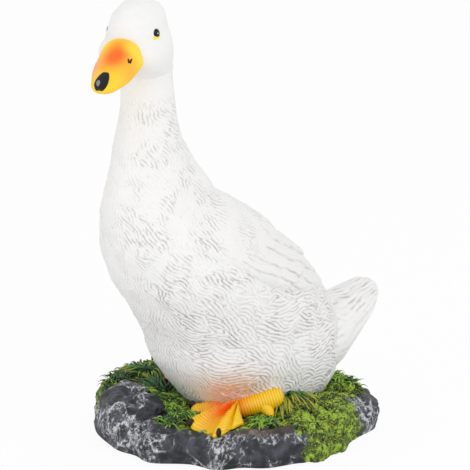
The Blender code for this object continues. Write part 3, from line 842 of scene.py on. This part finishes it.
def make_trunk(finish):
    """Body and neck in four stacked bands that meet on shared rings."""
    heights = np.arange(TRUNK_FOOT, NECK_TOP, ROW_PITCH)
    points = trunk_point(*np.meshgrid(heights, full_circle(TRUNK_COLUMNS), indexing="ij"))
    shape = points.shape[:2]
    flat = points.reshape(-1, 3)
    forward, left, height = flat.T
    wings, seams, cover, covert = wing_form(forward, left, height)
    carved, groove = (value.ravel() for value in plumage(points))
    side = step(np.abs(left) / trunk_half_width(height), 0.05, 0.55)
    front = step(forward - trunk_middle(height)[0], 0.0, 20.0)
    upper = step(height, 130.0, 210.0)
    keep = 1 - step(height, *CARVING_FADES)
    keep *= 1 - (0.15 + 0.45 * step(height, 110.0, 180.0)) * front * (1 - side)
    keep *= 1 - 0.30 * step(height, 190.0, 300.0)
    keep *= 1 - (0.15 + 0.65 * upper) * (1 - step(lumps(flat, 6.5, 25.0), -0.35, 0.05))
    keep *= 1 - (0.35 + 0.45 * upper) * (1 - step(lumps(flat, 22.0, 17.0), -0.2, 0.15))
    keep *= 1 - cover * (1 - 0.7 * covert)
    soft = 1.0 * lumps(flat, 21.0, 8.0) + 0.35 * lumps(flat, 5.5, 18.0)
    soft *= 0.25 + 0.75 * window(height, 50.0, 110.0, 280.0, 340.0)
    flat = flat + trunk_normals(flat) * (wings + keep * carved + soft)[:, None]
    height = flat[:, 2]
    wash = groove * keep * (0.62 + 0.38 * (1 - step(height, 90.0, 230.0))) + seams
    blush = 1.25 * sum(spot(flat, centre, BLUSH_SIZE) for centre in BLUSHES)
    values = {
        "groove": np.clip(wash, 0, 1).reshape(shape),
        "blush": np.clip(blush, 0, 1).reshape(shape),
        "pitted": (0.25 + 0.75 * window(height, 120.0, 200.0, 335.0, 362.0)).reshape(shape),
    }
    rings = to_row(flat).reshape(points.shape)
    normal = grid_normals(rings)
    caps = ((0.0, 0.0, -1.0), (0.0, 0.0, 1.0))
    ends = np.searchsorted(heights, BAND_TOPS)
    bands = ("body_low", "body_middle", "body_high", "neck")
    for name, low, high in zip(bands, [0, *ends], [*ends, len(heights) - 1]):
        every = 2 if name == "neck" else 1
        cut = (slice(low, high + 1), slice(None, None, every))
        form = solid(rings[cut], **{key: value[cut] for key, value in values.items()})
        custom = np.concatenate([normal[cut].reshape(-1, 3), caps])
        piece(name, [form], finish, custom)


def make_tail(finish):
    """The upturned tail: a fan of feathers with narrow dark grooves."""
    share = np.linspace(0, 1, len(TAIL))
    s = np.linspace(0, 1, 110)[:, None]
    turns = full_circle(230)
    forward, height, width, rise, drop = (spline(share, row)(s) for row in np.array(TAIL).T)
    vanes = 1 + 0.035 * step(s, 0.2, 0.6) * np.cos(turns * 14)
    up = np.where(np.cos(turns) > 0, rise, drop) * np.cos(turns)
    lean = 0.35 * step(s, 0.3, 1.0)
    points = stacked(forward - up * lean, width * np.sin(turns) * vanes, height + up * vanes)
    strand = turns * 29 / (2 * math.pi) + 0.9 * lumps(points, 16.0, 9.0) + 0.35 * np.sin(s * 11)
    valley = stripes(strand, 0.17) * step(s, 0.02, 0.15)
    valley *= 0.2 + 0.8 * step(lumps(points * (0.5, 1, 1), 7.0, 10.0), -0.1, 0.3)
    points = points - grid_normals(points) * (0.6 * valley)[..., None]
    high = 0.35 + 0.65 * step(points[..., 2], 95.0, 125.0)
    form = solid(to_row(points), groove=0.65 * valley * high, blush=0.0, pitted=0.6)
    piece("tail", [form], finish)


def bill_point(s, turn, proud=0.0):
    """A point of the bill, this far along it and this turn from the ridge, in duck axes."""
    width, rise, drop = columns(BILL)
    s, turn = np.broadcast_arrays(s, turn)
    c, d = np.cos(turn), np.sin(turn)
    side = (BILL_HALF_WIDTH * width(s) + proud) * signed_power(d, 0.92)
    side = side + BILL_LEAN * step(s, 0.25, 0.7)
    up = (np.where(c > 0, rise(s), drop(s)) + proud) * signed_power(c, 0.92)
    return head_place(stacked(s * BILL_LENGTH, side, up), HEAD_PITCH + BILL_PITCH, BILL_ROOT)


def bill_patch(s, middle, half, q, proud, sunk):
    """A thin form that lies on the bill, from -1 to 1 of its half width around its middle."""
    top = bill_point(s, middle + q * half, proud)
    under = bill_point(s, middle + q[:, ::-1] * half, sunk)
    return solid(to_row(np.concatenate([top, under], 1)))


def make_head(resin):
    """The head without its bill, from level slices."""
    turns = full_circle(160)
    c, d = np.cos(turns), np.sin(turns)
    centre, front, rear, half_width, square = columns(HEAD)
    h = np.linspace(HEAD[0][0], HEAD[-1][0], 96)[:, None]
    power = np.where(c > 0, 2 / square(h), 1.0)
    reach = np.where(c > 0, front(h), rear(h))
    ahead = centre(h) + reach * signed_power(c, power)
    skull = stacked(ahead, half_width(h) * signed_power(d, power), h)
    skull = skull + grid_normals(skull) * (0.3 * lumps(skull, 9.0, 11.0))[..., None]
    flush = 0.2 * spot(skull, BILL_ROOT, (20.0, 24.0, 26.0))
    form = solid(to_row(head_place(skull)), groove=0.0, blush=flush, pitted=0.0)
    piece("head", [form], resin)


def make_bill(dark):
    """The airbrushed bill with its nail, the glint on the nail and the nostrils."""
    s = np.linspace(BILL[0][0], BILL[-1][0], 90)[:, None]
    turn = np.linspace(-math.pi, math.pi, 140, endpoint=False)[None]
    orange = 1.1 * bell(s - 0.27 + 0.12 * turn, 0.26) * bell(turn - 0.12, 0.66)
    warm = 0.8 * bell(s - 0.42, 0.22) * bell(turn - 1.25, 0.6)
    pink = 0.85 * bell(s - 0.45, 0.25) * bell(turn + 1.05, 0.5)
    edge = 0.8 * (1 - step(s, 0.02, 0.2)) * (1 - bell(turn, 0.5))
    bill = to_row(bill_point(s, turn))
    form = solid(bill, orange=np.clip(orange, 0, 1), warm=warm, pink=pink, edge=edge)
    piece("bill", [form], bill_finish())

    s = np.linspace(NAIL_START, NAIL_START + NAIL_REACH, 30)[:, None]
    run = (s - NAIL_START) / NAIL_REACH
    q = np.linspace(-1, 1, 25)[None]
    crown = np.sqrt(np.maximum(0, 1 - q**6)) * np.sqrt(np.maximum(0, 1 - (2 * run - 1) ** 8))
    nail = bill_patch(s, -0.10 * run, 0.10 + 0.72 * run**0.85, q, crown - 0.2, -1.4)
    piece("bill_nail", [nail], dark)

    glint = gloss_finish("nail_glint_paint", srgb(112, 124, 124), srgb(140, 150, 148), 0.4)
    share = np.linspace(-1, 1, 13)[:, None]
    half = 0.16 * np.sqrt(np.maximum(0.02, 1 - share**2))
    shine = bill_patch(0.875 + 0.055 * share, -0.22, half, np.linspace(-1, 1, 5)[None], 0.98, 0.2)
    piece("nail_glint", [shine], glint)

    nostrils = []
    for way, more in ((1, 0.0), (-1, 0.45)):
        corner = bill_point(0.28, way * (0.90 + more), -0.6)
        for station, turn in ((0.21, 0.72), (0.16, 0.93)):
            tip = bill_point(station, way * (turn + more), -0.6)
            nostrils.append(solid(to_row(rod(corner, tip, 1.6, 0.7, 12, 14))))
    brown = gloss_finish("nostril_paint", srgb(60, 26, 20), srgb(84, 40, 22), 0.4)
    piece("nostrils", nostrils, brown)


def eye_forms(offset, half, **rings):
    """One ellipsoid for each eye, at an offset from the eye's place."""
    forms = []
    ahead, aside, up = np.add(EYE_PLACE, offset)
    for way, more in ((1, 0.0), (-1, FAR_EYE_AHEAD)):
        axes = np.array([(1, 0, 0), (0, 0, 1), (0, way, 0)]) @ head_frame(HEAD_PITCH)
        centre = head_place((ahead + more, way * aside, up))
        forms.append(solid(to_row(ellipsoid(centre, axes, half, **rings))))
    return forms


def make_eyes(dark):
    """Dark eyeballs, the yellow rims below them and a spark of light on each."""
    piece("eyes", eye_forms(*EYEBALL), dark)
    yellow = gloss_finish("eye_rim_paint", srgb(246, 220, 44), srgb(255, 236, 90), 0.4)
    piece("eye_rims", eye_forms(*EYE_RIM), yellow)
    white = gloss_finish("eye_spark_paint", srgb(240, 240, 240), srgb(250, 250, 250), 0.3)
    piece("eye_sparks", eye_forms(*EYE_SPARK, lats=10, around=14), white)


def moss_share(x, y, z):
    """1 where moss covers the rock, from the place in the part's frame."""
    turn = np.arctan2(y, x)
    angle = np.degrees(turn)
    away = np.hypot(x, y)
    points = stacked(x, y, z)
    ragged = lumps(points, 14.0, 20.0) + 0.5 * lumps(points, 6.0, 21.0)
    top = step(base_radius(turn) - away + 5.0 * ragged, 13.0, 18.0)
    gap = (stacked(x, y) - BARE_ROCK[0]) / BARE_ROCK[1]
    boulder = bell((gap**2).sum(-1), 1.0)
    strip = window(angle, *BARE_STRIP) * step(away + 3 * ragged, 94.0, 99.0)
    grass_front = window(angle, *FRONT_GRASS) * step(112.0 - away, 0.0, 5.0)
    top = top * (1 - step(boulder, 0.4, 0.6) * (1 - grass_front)) * (1 - strip)
    wall = window(angle + 6 * ragged, *MOSSY_WALL)
    rear = step(angle, *MOSSY_REAR[:2]) * (1 - step(angle + 4 * ragged, *MOSSY_REAR[2:]))
    rear = rear * step(z, 16.0, 26.0)
    return np.clip(np.max([top, wall, rear], axis=0), 0, 1)


def cushions(points):
    """Rise and fall of the moss's cushions, in millimetres."""
    return 3.2 * lumps(points, 9.0, 15.0) + 2.2 * lumps(points, 4.0, 16.0)


def crags(skin, fold_size, fine_size):
    """Broad and fine folds in rock, highest at 1, and the crests that catch the dry brush."""
    fold = 1 - 2 * np.abs(lumps(skin * (1, 1, 0.6), fold_size, 12.0))
    fine = 1 - 2 * np.abs(lumps(skin, fine_size, 13.0))
    crests = np.maximum(step(fold, 0.78, 0.98), 0.75 * step(fine, 0.74, 0.97))
    return fold, fine, crests


def make_base(finish):
    """The rock slab with folds and crests, and its mossy top."""
    angles = np.linspace(-math.pi, math.pi, 560, endpoint=False)
    edge = base_radius(angles)

    def ring(out, lift):
        """A ring this far out, at this share of the ground's height."""
        x, y = out * np.cos(angles), out * np.sin(angles)
        return stacked(x, y, ground(x, y) * lift)

    rings = [ring(edge * share, 0.0) for share in (0.4, 0.8)]
    for up in np.linspace(0.02, 1.0, 34):
        out = edge + WALL_BULGE * math.sin(up * math.pi) - 3.0 * up
        out = out - EDGE_ROUND * (1 - math.sqrt(max(0.0, 1 - up**5)))
        rings.append(ring(out, up * (1 - 0.07 * up**3)))
    for share in np.linspace(0.985, 0.05, 84):
        rings.append(ring((edge - EDGE_ROUND - 3.0) * share, 1.0))
    rings = np.array(rings)
    skin = rings[2:]
    outward = unit(skin * (1, 1, 0))
    rough = ROCK_ROUGHNESS * (lumps(skin, 27.0, 1.0) + 0.6 * lumps(skin, 11.0, 2.0))
    rough *= step(skin[..., 2], 2.0, 14.0)
    green = moss_share(skin[..., 0], skin[..., 1], skin[..., 2])
    fold, fine, crests = crags(skin, 19.0, 7.0)
    crag = 3.4 * (fold - 0.55) + 1.5 * (fine - 0.55) + 0.6 * lumps(skin, 2.6, 14.0)
    crag *= step(skin[..., 2], 1.0, 8.0)
    cushion = cushions(skin)
    detail = crag * (1 - green) + cushion * green
    skin = skin + (outward * 1.2 + (0, 0, 0.45)) * rough[..., None]
    skin = skin + (outward * 0.7 + (0, 0, 0.7)) * detail[..., None]
    skin[..., 2] = np.maximum(skin[..., 2], 0.0)
    rings[2:] = skin
    crest, moss = np.zeros((2, *rings.shape[:2]))
    # On the moss the crest is the cushions' height: it paints their tops light and the hollows
    # between them dark, as painted light and shade.
    crest[2:] = np.where(green > 0.5, step(cushion, -0.7, 1.0), crests)
    moss[2:] = green
    angle = np.degrees(np.arctan2(rings[..., 1], rings[..., 0]))
    # Painted sunlight: the moss's yellow tips are full on the sunny side and weaker elsewhere.
    sunny = 0.35 + 0.65 * window(angle, *SUNNY_SIDE)
    away = np.hypot(rings[..., 0], rings[..., 1])
    earth = window(angle, *EARTHY_EDGE) * step(away, 84.0, 92.0)
    earth *= step(rings[..., 2], 28.0, 33.0)
    form = solid(rings, crest=crest, moss=moss, sunny=sunny, earth=earth)
    piece("rock_base", [form], finish)


def boulder_form(centre, half, turn):
    """One rough boulder with folds."""
    spin = math.radians(turn)
    turns = full_circle(150)
    lat = np.linspace(0.04, math.pi - 0.04, 80)[:, None]
    x = np.sin(lat) ** 0.7 * signed_power(np.cos(turns), 0.8) * half[0]
    y = np.sin(lat) ** 0.7 * signed_power(np.sin(turns), 0.8) * half[1]
    x, y = x * math.cos(spin) - y * math.sin(spin), x * math.sin(spin) + y * math.cos(spin)
    skin = stacked(x, y, np.cos(lat) * half[2]) + centre
    outward = unit(skin - centre)
    rough = ROCK_ROUGHNESS * (lumps(skin, 24.0, 3.0) + 0.7 * lumps(skin, 10.0, 4.0))
    fold, fine, crests = crags(skin, 17.0, 6.5)
    crag = 2.6 * (fold - 0.5) + 1.2 * (fine - 0.5) + 0.5 * lumps(skin, 2.6, 14.0)
    skin = skin + outward * (rough + crag)[..., None]
    skin[..., 2] = np.maximum(skin[..., 2], 0.0)
    return solid(skin, crest=crests, moss=0.0, sunny=0.0, earth=0.0)


def on_ground(points):
    """Height of the base's top under places in the duck's axes."""
    row = to_row(stacked(points[..., 0], points[..., 1], 0.0))
    return ground(row[..., 0], row[..., 1])


def foot_forms(root, heel, tips, hind):
    """A webbed foot of ribbed toes, the leg behind it, and the hind toe."""
    root, heel, tips = np.array(root), np.array(heel), np.array(tips)
    reach = [spline(TOE_SHARES, tips[:, k]) for k in (0, 1)]
    s = np.linspace(0.0, 1.0, 84)[:, None]
    q = np.linspace(-1.12, 1.12, 92)[None]
    toe = np.max([bell(q - t, 0.19, 4) for t in TOE_SHARES], axis=0)
    web = 0.82 + 0.10 * (1 - step(q, -0.40, -0.10))
    ahead = (web + (1 - web) * toe) * s
    across = unit((heel - root)[:2])[[1, 0]] * (1, -1) * np.sign(root[1])
    ankle = -0.8 * LEG_RADIUS * q * (1 - s) ** 1.5
    spread = np.clip(q, -1, 1) + 0.5 * (q - np.clip(q, -1, 1))
    x, y = (root[k] + (reach[k](spread) - root[k]) * ahead - across[k] * ankle for k in (0, 1))
    floor = on_ground(stacked(x, y))
    end = np.sqrt(np.maximum(0.0, 1 - s**8)) * np.sqrt(np.maximum(0.0, 1 - (q / 1.13) ** 8))
    rib = np.cos(2 * math.pi * s * 19 + 2.0 * np.sin(q * 4))
    knuckle = 0.5 * np.cos(2 * math.pi * s * 4.5) * toe
    thick = (root[2] - floor) * (1 - s) ** 1.1 * (0.55 + 0.45 * toe)
    thick = thick + (WEB_THICKNESS * 0.35 + TOE_HEIGHT * 1.7 * toe) * (0.2 + 0.8 * end)
    thick = thick + (0.32 * rib + knuckle) * end * (0.4 + 0.6 * toe)
    line = np.max([bell(q - t, 0.17) for t in (-0.86, -0.02, 0.46)], axis=0)
    orange = np.clip(line * bell(s - 0.30, 0.40), 0, 0.9)
    valley = np.clip(-rib, 0, 1) ** 2 * (0.4 + 0.4 * toe) + 0.4 * (1 - toe) * step(s, 0.3, 0.8)

    def around(top, under):
        """Rows that run over the top and back along the underside."""
        return np.concatenate([top, under[:, ::-1]], 1)

    rings = around(stacked(x, y, floor + thick), stacked(x, y, floor - 4.0))
    fan = solid(to_row(rings), orange=around(orange, orange), groove=around(valley, valley))
    start = root + (root - heel) * 0.12 - (0.0, 0.0, 2.5)
    heel = heel + (heel - root) * 0.06
    along = np.linspace(0, 1, 90)[:, None]
    ring = 2 * math.pi * along * np.linalg.norm(heel - start) / RIB_PITCH
    ring = np.clip(-np.cos(ring), 0, 1) ** 2
    leg = rod(start, heel, LEG_RADIUS * 0.92, LEG_RADIUS * 1.18, 90, 40, 0.34, 4)
    spur_end = (*hind, on_ground(np.array(hind)) + 3.0)
    spur = rod(start + (heel - start) * 0.58, spur_end, 9.0, 3.4, 40, 30, 0.3, 4)
    return [
        fan,
        solid(to_row(leg), orange=0.75 * bell(along, 0.35), groove=ring),
        solid(to_row(spur), orange=0.0, groove=0.2),
    ]


def claw_forms(root, tips):
    """The dark painted claw at the end of each long toe."""
    forms = []
    for tip in np.array(tips)[:3]:
        way = unit(tip - np.array(root[:2]))
        x, y = way
        middle = tip - way * 1.2
        axes = np.array([(x, y, -0.1), (-y, x, 0.0), (0.1 * x, 0.1 * y, 1.0)])
        centre = (*middle, float(on_ground(middle)) + 5.4)
        forms.append(solid(to_row(ellipsoid(centre, axes, (4.0, 2.3, 4.8)))))
    return forms


def blade_set(name, roots, tips, rise, width, sunny, tone_and_light, material):
    """Many tapered blades that arch from their roots to their tips, as one piece."""
    stations = np.linspace(0, 1, 5)[None, :, None]
    crest = (roots + tips) / 2 + stacked(0.0, 0.0, 2 * rise)
    path = (1 - stations) ** 2 * roots[:, None] + 2 * stations * (1 - stations) * crest[:, None]
    path = path + stations**2 * tips[:, None]
    way = tips - roots
    side = np.cross(way, (0.0, 0.0, 1.0))
    side /= np.linalg.norm(side, axis=1, keepdims=True) + 1e-9
    taper = (1 - 0.85 * stations**1.5) * width[:, None, None]
    left = path + side[:, None] * taper
    right = path - side[:, None] * taper
    keel = path + np.array([0.0, 0.0, 0.8]) * taper
    ring = np.stack([left, right, keel], 2)
    count = len(roots)
    points = ring.reshape(-1, 3)
    base = (np.arange(count) * 15)[:, None]
    quads = []
    for k in range(4):
        for j in range(3):
            n = (j + 1) % 3
            quads.append([k * 3 + j, k * 3 + n, k * 3 + 3 + n, k * 3 + 3 + j])
    quads = (base[:, None] + np.array(quads)[None]).reshape(-1, 4)
    ends = (base[:, None] + np.array([[0, 2, 1], [12, 13, 14]])[None]).reshape(-1, 3)
    a, b, c = (points[quads[0, k]] for k in range(3))
    if np.dot(np.cross(b - a, c - b), (a + c) / 2 - path[0].mean(0)) < 0:
        quads, ends = quads[:, ::-1], ends[:, ::-1]
    along = np.broadcast_to(stations, (count, 5, 3)).ravel()
    values = {"along": along, "tone_and_light": np.repeat(tone_and_light, 15), "sunny": np.repeat(sunny, 15)}
    piece(name, [(points, quads, ends, values)], material)


def scatter(rng, count, inner, outer):
    """Random places on the base, between two shares of the way to its edge."""
    angle = np.radians(rng.uniform(-180, 180, count))
    edge = base_radius(angle) - EDGE_ROUND
    out = edge * np.sqrt(rng.uniform(inner**2, outer**2, count))
    return out * np.cos(angle), out * np.sin(angle)


def beside_feet(x, y):
    """True for places in the part's frame that keep clear of the toes."""
    clear = np.ones(np.shape(x), bool)
    for (root, _, tips, _), gap in zip(FEET, TOE_CLEARANCE):
        start = to_row(np.array((*root[:2], 0.0)))[:2]
        away = stacked(x, y) - start
        for tip in tips:
            way = to_row(np.array((*tip, 0.0)))[:2] - start
            share = np.clip(away @ way / (way @ way), 0, 1)
            clear &= np.linalg.norm(away - share[:, None] * way, axis=1) > gap
    return clear


def make_greenery():
    """Moss fuzz, short grass and the long drooping tufts by the legs."""
    rng = np.random.default_rng(11)
    grass = grass_finish("grass_paint", srgb(16, 58, 36), srgb(136, 194, 58), srgb(250, 238, 88))
    moss = grass_finish("moss_paint", srgb(40, 88, 28), srgb(188, 216, 66), srgb(255, 250, 120))

    x, y = scatter(rng, BLADES, 0.42, 0.99)
    keep = (moss_share(x, y, ground(x, y)) > 0.6) & beside_feet(x, y)
    x, y = x[keep], y[keep]
    count = len(x)
    angle = np.degrees(np.arctan2(y, x))
    fuzz = (angle > -8) & (angle < 62) & (np.hypot(x, y) > 62)
    way = rng.uniform(0, 2 * math.pi, count)
    length = np.where(fuzz, rng.uniform(2.5, 5.0, count), rng.uniform(5.0, 13.0, count))
    roots = stacked(x, y, ground(x, y) - 0.3)
    drift = rng.uniform(0.2, 2.2, count)
    tips = roots + stacked(np.cos(way) * length, np.sin(way) * length, drift)
    rise = np.where(fuzz, rng.uniform(0.6, 1.8, count), rng.uniform(1.0, 4.5, count))
    width = np.where(fuzz, 0.85, 1.35)
    # Blades on the cushions' tops get a lighter tone and sunnier tips, and blades in the hollows a
    # darker tone, as painted light and shade.
    bright = step(cushions(roots), -0.6, 1.0)
    rear = (angle < -100) | (angle > 70)
    sunny = np.where(fuzz, 0.4 + 0.6 * bright, (0.6 + 0.4 * rear) * bright)
    sunny *= rng.uniform(0.5, 1.0, count)
    tone_and_light = np.clip(0.1 + 0.9 * bright + rng.uniform(-0.15, 0.15, count), 0, 1)
    for name, chosen, paint in (("moss_fuzz", fuzz, moss), ("short_grass", ~fuzz, grass)):
        blades = [part[chosen] for part in (roots, tips, rise, width, sunny, tone_and_light)]
        blade_set(name, *blades, paint)

    roots, tips, rise = [], [], []
    for root, side in LONG_TUFTS:
        for _ in range(LONG_TUFT_BLADES):
            fan = math.radians(rng.uniform(-62, 58) if side > 0 else rng.uniform(-60, 60))
            way = np.array([-math.sin(fan), side * math.cos(fan)])
            length = rng.uniform(20, 38)
            start = np.array(root) + rng.normal(0, 3.0, 2)
            end = start + way * length
            roots.append(to_row((*start, float(on_ground(start)) + rng.uniform(0, 5))))
            tips.append(to_row((*end, float(on_ground(end)) + rng.uniform(0.3, 2.5))))
            rise.append(rng.uniform(5.0, 10.0) * (1.0 if side > 0 else 0.5))
    roots, tips, rise = np.array(roots), np.array(tips), np.array(rise)
    width = rng.uniform(1.6, 2.8, len(roots))
    tone_and_light = rng.uniform(0.0, 1.0, len(roots))
    deep = grass_finish("long_grass_paint", srgb(14, 52, 38), srgb(60, 128, 48), srgb(230, 216, 62))
    blade_set("long_grass", roots, tips, rise, width, 0.3 + 0.5 * tone_and_light, tone_and_light, deep)


def make_studio():
    """A plain pale floor, soft light all round, two large soft lamps and the camera."""
    mesh = bpy.data.meshes.new("floor")
    mesh.from_pydata([(-9, -9, 0), (9, -9, 0), (9, 9, 0), (-9, 9, 0)], [], [(0, 1, 2, 3)])
    floor = bpy.data.objects.new("floor", mesh)
    bpy.context.scene.collection.objects.link(floor)
    f = Finish("pale_floor", 0.9)
    f.shader.inputs["Base Color"].default_value = srgb(246, 246, 246)
    f.shader.inputs["Specular IOR Level"].default_value = 0.0
    glow = f.nodes.new("ShaderNodeEmission")
    ray = f.nodes.new("ShaderNodeLightPath").outputs["Is Camera Ray"]
    blend = f.nodes.new("ShaderNodeMixShader")
    f.links.new(f.times(ray, 0.92), blend.inputs["Fac"])
    f.links.new(f.shader.outputs["BSDF"], blend.inputs[1])
    f.links.new(glow.outputs["Emission"], blend.inputs[2])
    f.links.new(blend.outputs["Shader"], f.nodes["Material Output"].inputs["Surface"])
    mesh.materials.append(f.material)

    world = bpy.data.worlds.new("studio")
    world.use_nodes = True
    bpy.context.scene.world = world
    nodes, links = world.node_tree.nodes, world.node_tree.links
    back = nodes["Background"]
    rays = nodes.new("ShaderNodeLightPath")
    either = nodes.new("ShaderNodeMath")
    either.operation = "MAXIMUM"
    links.new(rays.outputs["Is Camera Ray"], either.inputs[0])
    links.new(rays.outputs["Is Glossy Ray"], either.inputs[1])
    level = nodes.new("ShaderNodeMapRange")
    level.inputs["To Min"].default_value = WORLD_LIGHT
    level.inputs["To Max"].default_value = 1.0
    links.new(either.outputs["Value"], level.inputs["Value"])
    links.new(level.outputs["Result"], back.inputs["Strength"])
    back.inputs["Color"].default_value = (1.0, 1.0, 1.0, 1.0)

    for name, (power, size, place) in LAMPS.items():
        lamp = bpy.data.lights.new(name, "AREA")
        lamp.energy = power
        lamp.size = size
        box = bpy.data.objects.new(name, lamp)
        box.location = place
        aim = Vector(LAMP_AIM) - box.location
        box.rotation_euler = aim.to_track_quat("-Z", "Y").to_euler()
        bpy.context.scene.collection.objects.link(box)

    camera = bpy.data.objects.new("camera", bpy.data.cameras.new("camera"))
    turn, tilt = math.radians(CAMERA_AZIMUTH), math.radians(CAMERA_ELEVATION)
    flat = math.cos(tilt)
    back = Vector((math.sin(turn) * flat, -math.cos(turn) * flat, math.sin(tilt)))
    camera.location = Vector((0, 0, CAMERA_TARGET)) + back * CAMERA_DISTANCE
    camera.rotation_euler = (-back).to_track_quat("-Z", "Y").to_euler()
    camera.data.sensor_width = 36.0
    camera.data.lens = CAMERA_LENS
    camera.data.clip_end = 100.0
    bpy.context.scene.collection.objects.link(camera)
    bpy.context.scene.camera = camera
    bpy.context.scene.view_settings.view_transform = "Standard"


def main():
    """The studio, and every piece of the statue."""
    make_studio()
    resin = resin_finish()
    make_trunk(resin)
    make_tail(resin)
    make_head(resin)
    dark = gloss_finish("black_gloss", srgb(10, 10, 14), srgb(24, 24, 32), 0.2)
    make_bill(dark)
    make_eyes(dark)
    rock = ground_finish()
    make_base(rock)
    for number, spec in enumerate(ROCKS):
        piece(f"boulder_{number}", [boulder_form(*spec)], rock)
    feet = foot_finish()
    claws = []
    for name, foot in zip(("foot_left", "foot_right"), FEET):
        piece(name, foot_forms(*foot), feet)
        claws += claw_forms(foot[0], foot[2])
    claw = gloss_finish("claw_paint", srgb(26, 22, 20), srgb(52, 40, 30), 0.35)
    piece("claws", claws, claw)
    make_greenery()


main()
